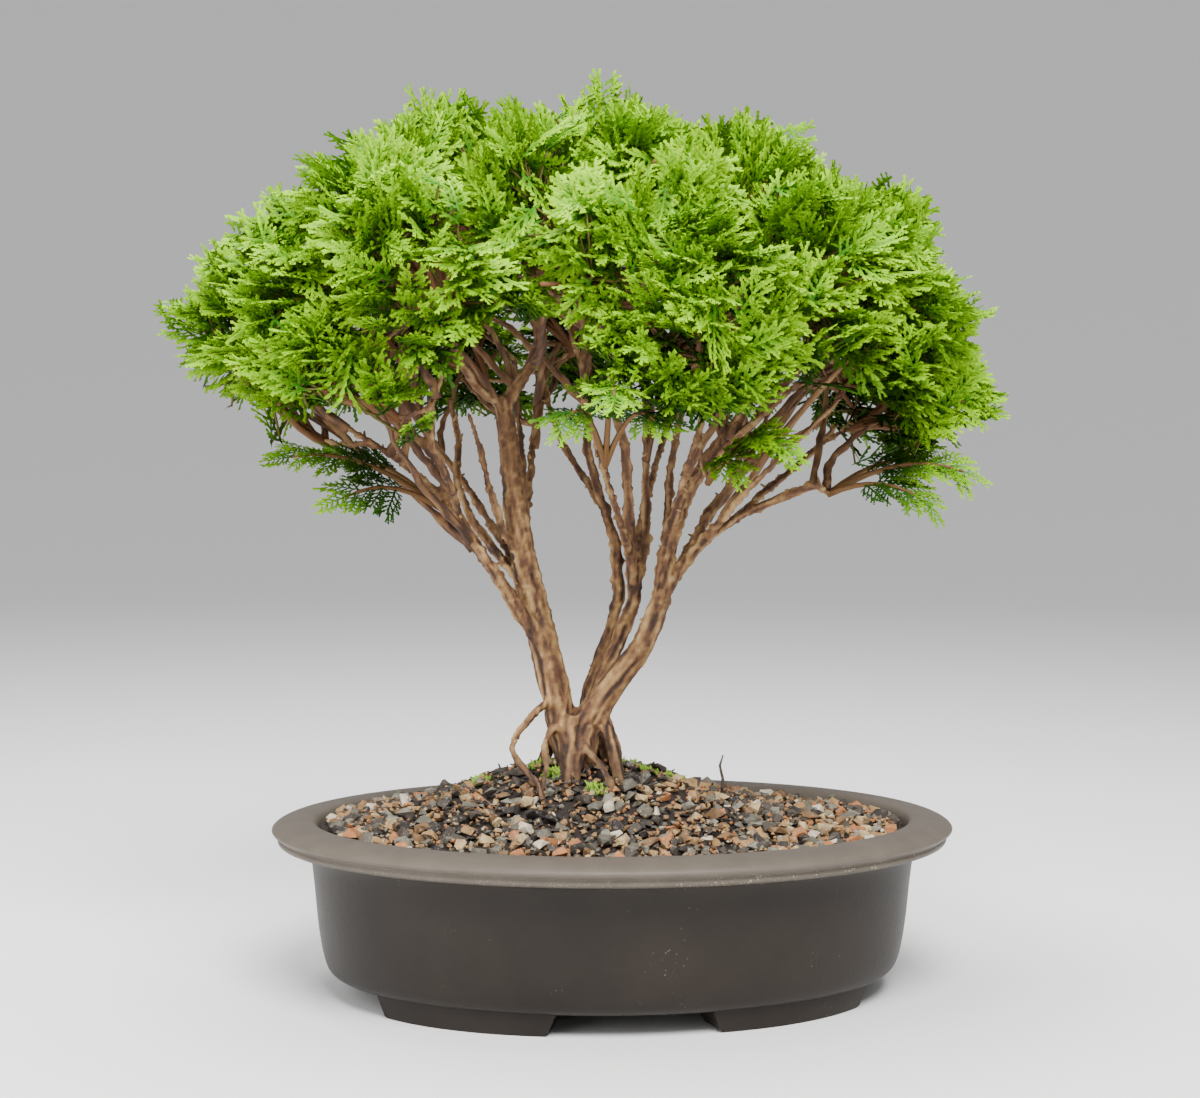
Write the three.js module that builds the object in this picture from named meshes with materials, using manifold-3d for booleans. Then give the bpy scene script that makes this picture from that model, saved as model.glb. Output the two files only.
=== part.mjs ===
// A tsukumo sawara cypress bonsai in its unglazed oval pot, in millimetres with +Z up.
// The pot's long side lies along X, and -Y is the front.
import * as THREE from "three";
import { mergeVertices } from "three/addons/utils/BufferGeometryUtils.js";
import Module from "manifold-3d";

const wasm = await Module();
wasm.setup();

// Driving sizes of the pot.
const RIM_HALF_LENGTH = 76.2;
const RIM_HALF_DEPTH = 56;
const POT_HEIGHT = 39;
const FOOT_HEIGHT = 4.6;
const FLOOR_TOP = 9;
const WALL_FOOT = 63.5;
const WALL_TOP = 68;
const POT_SEGMENTS = 34;
const LENGTH_OVER_DEPTH = RIM_HALF_LENGTH - RIM_HALF_DEPTH;

// Where each foot starts and ends round the oval, in degrees from +X.
const FOOT_ARCS = [
  [211, 254.5],
  [285.5, 329],
  [31, 74.5],
  [105.5, 149],
];
const FOOT_OUTER = 61.8;
const FOOT_WIDTH = 9;
const FOOT_TAPER = 0.9;
const FOOT_SUNK = 1.2;
const FOOT_STEPS = 6;

// Two drain holes, each under a square screen that keeps the grit in.
const DRAIN_X = 30;
const DRAIN_RADIUS = 4.5;
const DRAIN_SIDES = 14;
const SCREEN_SIZE = 15;
const SCREEN_THICK = 0.8;
const SCREEN_HOLES = 2;
const SCREEN_HOLE = 3.6;
const SCREEN_PITCH = 5.8;
const CLEARANCE = 0.35;
const WALL_CLEARANCE = 0.45;

// The grit's height at the wall, and how far it heaps up round the roots.
const SOIL_EDGE = 36.6;
const SOIL_HEAP = 13;
const HEAP_CENTRE = [-8, 2];
const HEAP_SPREAD = [24, 17];
const SOIL_RINGS = [0.76, 0.46, 0.2];
const SOIL_ROUGHNESS = 0.55;
const STONE_COUNT = 16;
const STONE_SIZES = [1.8, 3.4];
const STONE_SPREAD = 0.9;
const STONE_PROUD = 0.15;

// The crown: sprays grow away from a point inside it, and the crown is less deep than it is wide.
const CROWN_HEART = new THREE.Vector3(-4.5, 3, 100);
const CROWN_DEPTH = 0.78;
const CROWN_TOP_REACH = 106;
const CROWN_SIDE_REACH = 9;
const CROWN_LEFT_EXTRA = 1;
const CROWN_UNEVENNESS = 4;
const CROWN_SPIRAL_POINTS = 118;

// Below the second of these angles the crown draws in, down to this share of its reach at the first.
const DRAWN_IN_ANGLES = [12, 33];
const DRAWN_IN_SHARE = 0.78;

// The lowest tufts stand this many degrees above the heart at the ends, and higher in front and behind.
const LOWEST_AT_ENDS = 20;
const HIGHER_IN_FRONT = 13;
const HIGHER_BEHIND = 8;

// A tuft's length on its twig, and its sprays: each has a bare stalk, a rib and pointed leaflets.
const LEAFY_LENGTH = 37;
const SPRAYS_PER_TUFT = 3;
const SPRAY_WIDTH = [24, 30];
const SPRAY_LEAFLETS = 3;
const SPRAY_LEAN = [0.42, 0.58];
const SPRAY_ARCH = [-0.1, 0.06];
const SPRAY_CUP = 1.5;
const SPRAY_REACH = 0.98;
const FIRST_ROOT = 0.1;
const ROOT_SPACING = 0.07;
const BARE_SHARE = 0.22;
const BLADE_THICK = 0.66;
const RIB_HALF = 1;
const RIB_NARROWING = 0.5;
const END_LEAFLET = 0.9;
const LEAFLET_STAGGER = 0.2;
const TIP_FORWARD = [0.3, 0.55];
const FULLNESS_START = 0.12;
const FULLNESS_SPAN = 0.62;

// The slim dense middle of a tuft: its radii, and where they lie along it.
const CORE_RADII = [1.3, 2.6, 2.4, 0.5];
const CORE_SHARES = [0, 0.2, 0.5, 0.95];
const CORE_SIDES = 4;
const CORE_LUMPS = 0.14;

// What keeps a tuft apart from its neighbours and from its twig.
const NEIGHBOUR_GAP = 0.3;
const NEIGHBOUR_WITHIN = 0.75;
const SIDE_SOFTNESS = 2.5;
const TWIG_GAP = 0.5;
const FOOT_SOFTNESS = 1.2;
const WOOD_MARGIN = 2.4;
const SHORTEST_STRETCH = 3.5;

// A twig starts this deep in its branch, past this share of its length, and bends into its tuft.
const TWIG_RADII = [1.1, 0.85];
const TWIG_SUNK = 1.4;
const TWIG_LOWEST = 0.4;
const TWIG_SIDEWAYS_COST = 0.9;
const TWIG_FORK_COST = 2;
const TWIG_BENDS = [0.3, 0.4];
const SEED = 20251;

// Sprays that hang below the crown or lean out of it: their angles and reach from the heart, and length.
const LONE_SPRAYS = [
  { name: "spray_low_right", azimuth: 341, elevation: 12, reach: 88, length: 32 },
  { name: "spray_low_left", azimuth: 196, elevation: 13, reach: 76, length: 37 },
  { name: "spray_front_hanging", azimuth: 268, elevation: 21, reach: 88, length: 37 },
  { name: "spray_front_right", azimuth: 300, elevation: 18, reach: 80, length: 34 },
];

// Trunks and branches: the points that each passes, its first and last radius, its sides and its steps.
const LIMBS = {
  left_trunk: {
    points: [
      [-9, -1, 50], [-10.5, 0, 55], [-12.5, 1.5, 62], [-14.5, 2, 71], [-17, 2.5, 82], [-19.5, 3.5, 92],
      [-21.5, 4, 103], [-23, 4, 114.5], [-24.5, 3.5, 125.5], [-25.5, 3, 133],
    ],
    radii: [4.4, 2.2], sides: 7, steps: 8, knots: 0.07,
  },
  left_leader: {
    points: [
      [-25.5, 3, 130], [-21, 4.5, 137], [-17, 7.5, 144], [-18, 10, 151.5], [-18.5, 10.5, 159.5],
      [-17.5, 9.5, 169], [-18, 9, 176],
    ],
    radii: [2, 0.9], sides: 5, steps: 6, knots: 0.08,
  },
  left_stub: {
    points: [[-25.3, 3, 130.5], [-30.5, 0.5, 134], [-34.5, -3, 139], [-38.5, -8.5, 146]],
    radii: [1.6, 0.9], sides: 4, steps: 3,
  },
  second_trunk: {
    points: [
      [-14, 2, 69.5], [-17, 0.5, 77.5], [-22.5, -0.5, 86.5], [-28.5, -1.5, 95.5], [-34.5, -1.5, 104.5],
      [-38, -2, 112], [-40, -2.5, 119.5], [-43.5, -3.5, 127.5], [-48.5, -5.5, 134.5],
    ],
    radii: [2.2, 1], sides: 5, steps: 8, knots: 0.06,
  },
  low_left: {
    points: [
      [-34.5, -1.5, 104.5], [-41.5, -2.5, 113], [-47, -4.5, 117.5], [-54, -7.5, 122], [-60.5, -13, 126],
    ],
    radii: [1.3, 0.8], sides: 4, steps: 4,
  },
  far_left: {
    points: [[-40, -2.5, 118.5], [-47, -0.5, 126], [-56.5, 3, 130], [-66.5, 6, 134.5], [-76, 9.5, 139.5]],
    radii: [1.3, 0.8], sides: 4, steps: 4,
  },
  left_inner: {
    points: [
      [-19.5, 3.5, 90], [-25.5, 8.5, 96.5], [-30.5, 12, 103], [-34, 14.5, 108.5], [-35.5, 18, 115.5],
      [-34.5, 22.5, 123.5], [-36.5, 27, 133],
    ],
    radii: [1.5, 0.9], sides: 4, steps: 5,
  },
  left_slim: {
    points: [
      [-20.5, 4, 95.5], [-25, 0.5, 102], [-27.5, -2, 108.5], [-29.5, -3.5, 115.5], [-31, -6, 122],
      [-33.5, -11.5, 128.5],
    ],
    radii: [1.2, 0.8], sides: 4, steps: 4,
  },
  trunk_side: {
    points: [[-20, 4, 96], [-20, 9.5, 110], [-20.5, 13, 121], [-21, 17.5, 131.5], [-21.5, 26, 142.5]],
    radii: [1.3, 0.8], sides: 4, steps: 4,
  },
  right_trunk: {
    points: [
      [-8.5, -1, 50], [-8, -1.5, 57], [-4.5, -1.5, 64], [0, -1.5, 69.5], [4.5, -2, 75], [7.5, -2, 81],
      [10, -2, 87.5], [11, -1.5, 93.5], [11.5, -2.5, 101], [13.5, -3.5, 107.5], [16.5, -5.5, 114.5],
      [21, -7.5, 121.5], [25.5, -12, 127.5], [28.5, -16, 134.5],
    ],
    radii: [4, 1.2], sides: 6, steps: 9, knots: 0.07,
  },
  low_right: {
    points: [
      [10, -2, 87.5], [15, -3, 96], [21, -3.5, 102.5], [27, -4.5, 106.5], [32.5, -7, 109.5], [40, -10, 112],
      [47, -14.5, 115],
    ],
    radii: [1.7, 1], sides: 5, steps: 5,
  },
  low_right_twin: {
    points: [[26.5, -4.5, 106], [33.5, -1, 112], [40, 2.5, 116.5], [47, 6, 122], [53.5, 9.5, 128]],
    radii: [1.2, 0.8], sides: 4, steps: 4,
  },
  middle: {
    points: [
      [-7, 0.5, 55], [-5.5, 2.5, 61.5], [-3, 3.5, 68], [-0.5, 3.5, 74], [2.5, 3.5, 81.5], [5, 3, 89.5],
      [3.5, 1.5, 97], [3, 0.5, 105.5], [2.5, 0, 114], [1.5, -1.5, 123], [-1.5, -4.5, 132], [-3, -10, 142],
    ],
    radii: [2.5, 1], sides: 5, steps: 8, knots: 0.06,
  },
  middle_left: {
    points: [
      [-7.5, 4, 55], [-6, 6.5, 61.5], [-4.5, 8, 69], [-1.5, 8, 76.5], [1, 7, 84.5], [1.5, 6.5, 92.5],
      [0.5, 5.5, 99.5], [-1.5, 6.5, 107.5], [-4.5, 9, 114.5], [-5.5, 13.5, 123.5], [-4.5, 18, 132.5],
      [-6, 24.5, 142],
    ],
    radii: [2.1, 1], sides: 5, steps: 8, knots: 0.06,
  },
  middle_right: {
    points: [
      [4.8, 3, 88.5], [7, 5, 98], [8, 7.5, 107.5], [7.5, 10, 116.5], [8.5, 14, 125.5], [8, 18.5, 136],
      [11, 23, 148],
    ],
    radii: [1.5, 0.8], sides: 4, steps: 5,
  },
  upright: {
    points: [
      [11, -1.5, 94.5], [12, 3, 105], [12, 5, 112.5], [14, 7.5, 121], [16, 9.5, 130], [18.5, 9.5, 139],
      [20.5, 8, 149.5],
    ],
    radii: [1.5, 0.8], sides: 4, steps: 5,
  },
  rising_right: {
    points: [[12, -3, 104.5], [17.5, -9.5, 116.5], [23.5, -13.5, 123], [30.5, -16, 129], [37, -20.5, 135.5]],
    radii: [1.3, 0.8], sides: 4, steps: 4,
  },
  wide_right: {
    points: [
      [15.5, -3, 96.5], [22, 2, 108.5], [29, 7.5, 115.5], [37, 11, 121], [46, 12, 125.5],
      [54.5, 13.5, 132.5], [63, 13, 141],
    ],
    radii: [1.4, 0.8], sides: 4, steps: 5,
  },
  back_left_dark: {
    points: [[-1, 6, 106.5], [-7, 18, 116.5], [-11.5, 28, 126], [-13, 35, 133.5], [-14, 42, 142]],
    radii: [1.3, 0.8], sides: 4, steps: 4,
  },
  back_right: {
    points: [[8.5, -1, 83.5], [18, 13, 98], [30, 26, 113], [42, 35, 128], [51, 41, 142]],
    radii: [1.6, 0.8], sides: 4, steps: 4,
  },
  back_middle: {
    points: [[4.5, 3, 92], [8, 17, 106], [14, 31, 122], [20, 41, 138], [23, 46, 152]],
    radii: [1.4, 0.8], sides: 4, steps: 4,
  },
  back_far_left: {
    points: [[-19.5, 4, 91], [-27, 17, 103.5], [-37, 29, 119], [-47, 37, 133], [-56, 41, 146]],
    radii: [1.4, 0.8], sides: 4, steps: 4,
  },
  back_left: {
    points: [[-21, 4.5, 99], [-18, 21, 113], [-16, 35, 128], [-14, 45, 144]],
    radii: [1.3, 0.8], sides: 4, steps: 3,
  },
  front_left: {
    points: [[-34.5, -1.5, 104], [-38, -13, 115], [-43, -24, 125.5], [-48, -32, 135.5]],
    radii: [1.2, 0.8], sides: 4, steps: 3,
  },
  front_middle: {
    points: [[3.5, 1.5, 97], [-2, -10, 110.5], [-7, -22, 122.5], [-11, -32, 134]],
    radii: [1.2, 0.8], sides: 4, steps: 3,
  },
  front_right: {
    points: [[11.5, -2.5, 102], [13.5, -15, 116.5], [15.5, -27, 129], [17.5, -36, 140]],
    radii: [1.2, 0.8], sides: 4, steps: 3,
  },
  front_far_right: {
    points: [[18.5, -3, 99.5], [27, -14, 112.5], [36, -24, 123], [45, -32, 133]],
    radii: [1.2, 0.8], sides: 4, steps: 3,
  },
};

// Roots that stand clear of the grit before they go into it.
const ROOTS = {
  root_left_loop: {
    points: [
      [-12.5, 0, 66], [-16.5, -2, 64], [-20, -4, 60.5], [-23.5, -5.5, 56.5], [-23, -8, 53],
      [-20.5, -11, 50.5], [-18, -14.5, 48], [-17, -16.5, 43.5],
    ],
    radii: [1.3, 0.9], sides: 4, steps: 8,
  },
  root_left_near: {
    points: [
      [-11.5, -1, 61], [-15, -3.5, 58.5], [-16.5, -5.5, 56], [-16, -8, 52.5], [-17, -11.5, 48],
      [-18, -13.5, 43],
    ],
    radii: [1.2, 0.8], sides: 4, steps: 5,
  },
  root_centre: {
    points: [[-9.5, -1.5, 61], [-10, -3.5, 55.5], [-10.5, -6, 50.5], [-11.5, -8.5, 46], [-12, -10, 41.5]],
    radii: [3.5, 2.2], sides: 6, steps: 4, knots: 0.06,
  },
  root_right: {
    points: [
      [-5.5, -1.5, 63], [-2.5, -3, 60], [-1, -4.5, 56], [-0.5, -6.5, 51.5], [0.5, -7.5, 47], [1, -8, 41.5],
    ],
    radii: [2, 1.4], sides: 5, steps: 5,
  },
  root_right_thin: {
    points: [[-8.5, -3, 57.5], [-6.5, -6.5, 54], [-4, -10, 51.5], [-2.5, -12.5, 48.5], [-1.5, -14.5, 43.5]],
    radii: [1.2, 0.9], sides: 4, steps: 4,
  },
  root_inner: {
    points: [[-6.5, 0.5, 61], [-4, 1.5, 56.5], [-2, 3, 52.5], [0.5, 4.5, 47.5], [2, 5.5, 42]],
    radii: [2.4, 1.4], sides: 5, steps: 4,
  },
  root_back_left: {
    points: [[-11, 2.5, 61], [-13.5, 7.5, 55.5], [-15, 12, 50.5], [-16.5, 16, 44.5]],
    radii: [2.4, 1.3], sides: 5, steps: 3,
  },
  root_back_right: {
    points: [[-7, 3.5, 60.5], [-4, 9.5, 54.5], [-2, 14.5, 49], [-0.5, 18.5, 43]],
    radii: [2, 1.2], sides: 5, steps: 3,
  },
};
const ROOT_LENGTHENING = 1.2;

const MERGE_DISTANCE = 1e-4;
const GOLDEN_ANGLE = Math.PI * (3 - Math.sqrt(5));

const clay = new THREE.MeshStandardMaterial({ color: 0x3b3029, roughness: 0.62, metalness: 0 });
const grit = new THREE.MeshStandardMaterial({ color: 0x6f5a48, roughness: 0.95, metalness: 0 });
const bark = new THREE.MeshStandardMaterial({ color: 0x8a5f43, roughness: 0.9, metalness: 0 });
const leaf = new THREE.MeshStandardMaterial({ color: 0x6fae1c, roughness: 0.6, metalness: 0 });
const plastic = new THREE.MeshStandardMaterial({ color: 0x1d1f20, roughness: 0.7, metalness: 0 });

// A repeatable stream of numbers from 0 to 1.
function seededRandom(seed) {
  let state = seed >>> 0;
  return () => {
    state = (state + 0x6d2b79f5) >>> 0;
    let mixed = Math.imul(state ^ (state >>> 15), 1 | state);
    mixed = (mixed + Math.imul(mixed ^ (mixed >>> 7), 61 | mixed)) ^ mixed;
    return ((mixed ^ (mixed >>> 14)) >>> 0) / 4294967296;
  };
}

const between = (random, low, high) => low + (high - low) * random();

// A closed geometry as a solid that can be joined and cut.
function solidFrom(geometry) {
  const bare = geometry.clone();
  bare.deleteAttribute("normal");
  bare.deleteAttribute("uv");
  const merged = mergeVertices(bare, MERGE_DISTANCE);
  const triangles = [];
  const index = merged.index.array;
  for (let i = 0; i < index.length; i += 3) {
    const corners = [index[i], index[i + 1], index[i + 2]];
    if (new Set(corners).size === 3) triangles.push(...corners);
  }
  return new wasm.Manifold(
    new wasm.Mesh({
      numProp: 3,
      vertProperties: merged.attributes.position.array,
      triVerts: new Uint32Array(triangles),
    }),
  );
}

// A solid back as a geometry, keeping its largest body only.
function geometryFrom(solid) {
  const bodies = solid.decompose();
  const largest = bodies.reduce((best, body) => (body.volume() > best.volume() ? body : best));
  const mesh = largest.getMesh();
  const geometry = new THREE.BufferGeometry();
  geometry.setAttribute("position", new THREE.BufferAttribute(new Float32Array(mesh.vertProperties), 3));
  geometry.setIndex(new THREE.BufferAttribute(new Uint32Array(mesh.triVerts), 1));
  geometry.computeVertexNormals();
  return geometry;
}

const joined = (solids) => solids.reduce((all, one) => all.add(one));

function named(name, geometry, material) {
  const mesh = new THREE.Mesh(geometry, material);
  mesh.name = name;
  return mesh;
}

// Moves every vertex of a geometry by a rule.
function reshape(geometry, rule) {
  const position = geometry.getAttribute("position");
  const vertex = new THREE.Vector3();
  for (let i = 0; i < position.count; i++) {
    vertex.fromBufferAttribute(position, i);
    rule(vertex);
    position.setXYZ(i, vertex.x, vertex.y, vertex.z);
  }
  return geometry;
}

// A turned profile made oval: a ring of half-length r has the half-depth that the rule gives.
function ovalLathe(profile, halfDepth, segments) {
  const points = profile.map(([radius, height]) => new THREE.Vector2(radius, height));
  const turned = new THREE.LatheGeometry(points, segments).rotateX(Math.PI / 2);
  return reshape(turned, (vertex) => {
    const radius = Math.hypot(vertex.x, vertex.y);
    if (radius > 1e-6) vertex.y *= halfDepth(radius) / radius;
    else vertex.set(0, 0, vertex.z);
  });
}

const wallDepth = (radius) => radius - LENGTH_OVER_DEPTH;

const OUTER_PROFILE = [
  [0, FOOT_HEIGHT],
  [WALL_FOOT - 1.6, FOOT_HEIGHT],
  [WALL_FOOT + 1.2, 7.2],
  [WALL_TOP - 0.4, 31],
  [WALL_TOP + 2, 33.6],
  [RIM_HALF_LENGTH - 1.6, 34.2],
  [RIM_HALF_LENGTH, 36],
  [RIM_HALF_LENGTH - 1.6, POT_HEIGHT - 0.4],
  [RIM_HALF_LENGTH - 8.6, POT_HEIGHT],
];
const INNER_PROFILE = [
  [RIM_HALF_LENGTH - 9.6, POT_HEIGHT - 1],
  [RIM_HALF_LENGTH - 10.3, SOIL_EDGE - 1],
  [WALL_TOP - 4.2, 29.5],
  [WALL_FOOT - 3.6, FLOOR_TOP],
];

// One foot: a stretch of the oval, its lower edge drawn in.
function footSolid([from, to]) {
  const outline = [];
  const along = (offset, angle) => {
    const half = FOOT_OUTER - offset;
    return new THREE.Vector2(half * Math.cos(angle), wallDepth(half) * Math.sin(angle));
  };
  for (let i = 0; i <= FOOT_STEPS; i++) {
    outline.push(along(0, THREE.MathUtils.degToRad(from + ((to - from) * i) / FOOT_STEPS)));
  }
  for (let i = FOOT_STEPS; i >= 0; i--) {
    outline.push(along(FOOT_WIDTH, THREE.MathUtils.degToRad(from + ((to - from) * i) / FOOT_STEPS)));
  }
  const block = new THREE.ExtrudeGeometry(new THREE.Shape(outline), {
    depth: FOOT_HEIGHT + FOOT_SUNK,
    bevelEnabled: false,
  });
  const middle = along(FOOT_WIDTH / 2, THREE.MathUtils.degToRad((from + to) / 2));
  return solidFrom(
    reshape(block, (vertex) => {
      if (vertex.z > FOOT_HEIGHT / 2) return;
      vertex.x = middle.x + (vertex.x - middle.x) * FOOT_TAPER;
      vertex.y = middle.y + (vertex.y - middle.y) * FOOT_TAPER;
    }),
  );
}

function makePot() {
  const profile = [...OUTER_PROFILE, ...INNER_PROFILE, [0, FLOOR_TOP]];
  let pot = solidFrom(ovalLathe(profile, wallDepth, POT_SEGMENTS));
  pot = joined([pot, ...FOOT_ARCS.map(footSolid)]);
  for (const side of [-1, 1]) {
    const hole = new THREE.CylinderGeometry(DRAIN_RADIUS, DRAIN_RADIUS, 2 * FLOOR_TOP, DRAIN_SIDES);
    hole.rotateX(Math.PI / 2).translate(side * DRAIN_X, 0, FLOOR_TOP);
    pot = pot.subtract(solidFrom(hole));
  }
  return named("pot", geometryFrom(pot), clay);
}

function makeScreen(name, side) {
  const middle = (SCREEN_HOLES - 1) / 2;
  let screen = solidFrom(new THREE.BoxGeometry(SCREEN_SIZE, SCREEN_SIZE, SCREEN_THICK));
  for (let column = 0; column < SCREEN_HOLES; column++) {
    for (let row = 0; row < SCREEN_HOLES; row++) {
      const hole = new THREE.BoxGeometry(SCREEN_HOLE, SCREEN_HOLE, 2 * SCREEN_THICK);
      hole.translate((column - middle) * SCREEN_PITCH, (row - middle) * SCREEN_PITCH, 0);
      screen = screen.subtract(solidFrom(hole));
    }
  }
  const geometry = geometryFrom(screen);
  geometry.translate(side * DRAIN_X, 0, FLOOR_TOP + CLEARANCE + SCREEN_THICK / 2);
  return named(name, geometry, plastic);
}

const soilHeight = (x, y) => {
  const across = (x - HEAP_CENTRE[0]) / HEAP_SPREAD[0];
  const deep = (y - HEAP_CENTRE[1]) / HEAP_SPREAD[1];
  return SOIL_EDGE + SOIL_HEAP * Math.exp(-0.5 * (across * across + deep * deep));
};

const smoothPath = (points) =>
  new THREE.CatmullRomCurve3(points.map((point) => new THREE.Vector3(...point)), false, "centripetal");

// A tapered stem along a smooth path, made by bending a closed cylinder onto it.
function stemGeometry({ points, radii, sides, steps, knots = 0 }, swell = 0) {
  const path = smoothPath(points);
  const frames = path.computeFrenetFrames(steps, false);
  const column = new THREE.CylinderGeometry(1, 1, 1, sides, steps);
  return reshape(column, (vertex) => {
    const step = Math.round((vertex.y + 0.5) * steps);
    const share = step / steps;
    const lumps = 1 + knots * Math.sin(5.3 * step + 1.7 * Math.atan2(vertex.x, vertex.z));
    const radius = (radii[0] + (radii[1] - radii[0]) * Math.pow(share, 0.8)) * lumps + swell;
    const across = vertex.x * radius;
    const deep = -vertex.z * radius;
    vertex.copy(path.getPointAt(share));
    vertex.addScaledVector(frames.normals[step], across);
    vertex.addScaledVector(frames.binormals[step], deep);
  });
}

function makeSoil() {
  const random = seededRandom(SEED + 1);
  const inside = INNER_PROFILE.slice(1).reverse();
  const wall = inside.map(([radius, height]) => [radius - WALL_CLEARANCE, height]);
  const edge = wall[wall.length - 1][0];
  wall[0] = [wall[0][0], FLOOR_TOP + CLEARANCE];
  const top = SOIL_RINGS.map((share) => [edge * share, SOIL_EDGE]);
  const bottom = [0, FLOOR_TOP + CLEARANCE];
  const brink = [edge + 0.2, SOIL_EDGE - 0.4];
  const profile = [bottom, ...wall, brink, ...top, [0, SOIL_EDGE]];
  const proportion = wallDepth(edge) / edge;
  const outermost = edge * SOIL_RINGS[0] + 0.01;
  const depthOf = (radius) => (radius > outermost ? wallDepth(radius) : radius * proportion);
  const heap = reshape(ovalLathe(profile, depthOf, POT_SEGMENTS), (vertex) => {
    if (vertex.z < SOIL_EDGE - 0.01) return;
    const unevenness = Math.sin(vertex.x * 1.7) * Math.cos(vertex.y * 2.1);
    vertex.z = soilHeight(vertex.x, vertex.y) + SOIL_ROUGHNESS * unevenness;
  });
  let soil = solidFrom(heap);
  for (let i = 0; i < STONE_COUNT; i++) {
    const share = Math.sqrt((i + 0.5) / STONE_COUNT) * STONE_SPREAD;
    const angle = i * GOLDEN_ANGLE;
    const x = edge * share * Math.cos(angle);
    const y = wallDepth(edge) * share * Math.sin(angle);
    const size = between(random, ...STONE_SIZES);
    const stone = new THREE.IcosahedronGeometry(size, 0);
    stone.scale(1, between(random, 0.6, 0.9), between(random, 0.5, 0.8));
    stone.rotateX(between(random, 0, 0.7)).rotateZ(between(random, 0, Math.PI));
    stone.translate(x, y, soilHeight(x, y) + size * STONE_PROUD);
    soil = soil.add(solidFrom(stone));
  }
  for (const side of [-1, 1]) {
    const room = SCREEN_SIZE + 2 * CLEARANCE;
    const recess = new THREE.BoxGeometry(room, room, 2 * (SCREEN_THICK + 2 * CLEARANCE));
    recess.translate(side * DRAIN_X, 0, FLOOR_TOP);
    soil = soil.subtract(solidFrom(recess));
  }
  const holes = [...Object.values(ROOTS).map(withLongerEnd), LIMBS.left_trunk, LIMBS.right_trunk];
  for (const stem of holes) soil = soil.subtract(solidFrom(stemGeometry(stem, CLEARANCE)));
  return named("soil", geometryFrom(soil), grit);
}

// The same root a little longer, for the hole that it stands in.
function withLongerEnd(root) {
  const last = new THREE.Vector3(...root.points[root.points.length - 1]);
  const before = new THREE.Vector3(...root.points[root.points.length - 2]);
  const end = last.clone().addScaledVector(last.clone().sub(before).normalize(), ROOT_LENGTHENING);
  return { ...root, points: [...root.points, end.toArray()], steps: root.steps + 1 };
}

// Crown space is world space seen from the heart, with its depth stretched so that the crown is round.
const toCrown = (point) => {
  const offset = point.clone().sub(CROWN_HEART);
  offset.y /= CROWN_DEPTH;
  return offset;
};
const fromCrown = (offset) => {
  const point = offset.clone();
  point.y *= CROWN_DEPTH;
  return point.add(CROWN_HEART);
};

function directionTo(azimuth, elevation) {
  const level = Math.cos(elevation);
  return new THREE.Vector3(level * Math.cos(azimuth), level * Math.sin(azimuth), Math.sin(elevation));
}

// How low the crown's tufts sit, by the way they face: low at the ends, higher in front and behind.
function lowestElevation(direction) {
  const level = Math.hypot(direction.x, direction.y) || 1;
  const front = Math.max(0, -direction.y / level);
  const back = Math.max(0, direction.y / level);
  const higher = HIGHER_IN_FRONT * front * front + HIGHER_BEHIND * back * back;
  return THREE.MathUtils.degToRad(LOWEST_AT_ENDS + higher);
}

// How far the crown reaches from its heart in a direction.
function crownReach(direction) {
  const sideways = direction.x * direction.x;
  const elevation = THREE.MathUtils.radToDeg(Math.asin(direction.z));
  const full = THREE.MathUtils.smoothstep(elevation, ...DRAWN_IN_ANGLES);
  const left = direction.x < 0 ? CROWN_LEFT_EXTRA * sideways : 0;
  const reach = CROWN_TOP_REACH + CROWN_SIDE_REACH * sideways + left;
  return reach * THREE.MathUtils.lerp(DRAWN_IN_SHARE, 1, full);
}

// Every tuft's direction from the heart, how far out it starts and how far it reaches.
function planTufts() {
  const random = seededRandom(SEED);
  const tufts = [];
  const plan = (name, direction, reach, length) => {
    tufts.push({ name, direction, reach, start: reach - length });
  };
  for (let i = 0; i < CROWN_SPIRAL_POINTS; i++) {
    const height = 1 - (2 * (i + 0.5)) / CROWN_SPIRAL_POINTS;
    const elevation = Math.asin(height);
    const direction = directionTo(i * GOLDEN_ANGLE, elevation);
    if (elevation < lowestElevation(direction)) continue;
    const reach = crownReach(direction) + between(random, -CROWN_UNEVENNESS, CROWN_UNEVENNESS);
    plan("tuft_" + String(tufts.length + 1).padStart(2, "0"), direction, reach, LEAFY_LENGTH);
  }
  for (const { name, azimuth, elevation, reach, length } of LONE_SPRAYS) {
    const direction = directionTo(THREE.MathUtils.degToRad(azimuth), THREE.MathUtils.degToRad(elevation));
    plan(name, direction, reach, length);
  }
  return tufts;
}

// The planes that a tuft's blades bend away from: halfway to each neighbour, and across its own foot.
function boundsOf(tuft, tufts) {
  const planes = [];
  for (const other of tufts) {
    if (other === tuft) continue;
    const across = tuft.direction.clone().sub(other.direction);
    if (across.length() > NEIGHBOUR_WITHIN) continue;
    across.y /= CROWN_DEPTH;
    across.normalize();
    planes.push({ normal: across, offset: NEIGHBOUR_GAP / 2, softness: SIDE_SOFTNESS });
  }
  const foot = tuft.direction.clone();
  foot.y /= CROWN_DEPTH;
  const length = foot.length();
  planes.push({ normal: foot.normalize(), offset: tuft.start / length + TWIG_GAP, softness: FOOT_SOFTNESS });
  return planes;
}

// Bends a point back inside the planes, ever more gently, so that it never reaches them.
function bendInside(point, planes) {
  for (const { normal, offset, softness } of planes) {
    const clear = normal.x * (point.x - CROWN_HEART.x) + normal.y * (point.y - CROWN_HEART.y) +
      normal.z * (point.z - CROWN_HEART.z) - offset;
    if (clear >= softness) continue;
    const kept = softness * Math.exp((clear - softness) / softness);
    point.addScaledVector(normal, kept - clear);
  }
}

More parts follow.
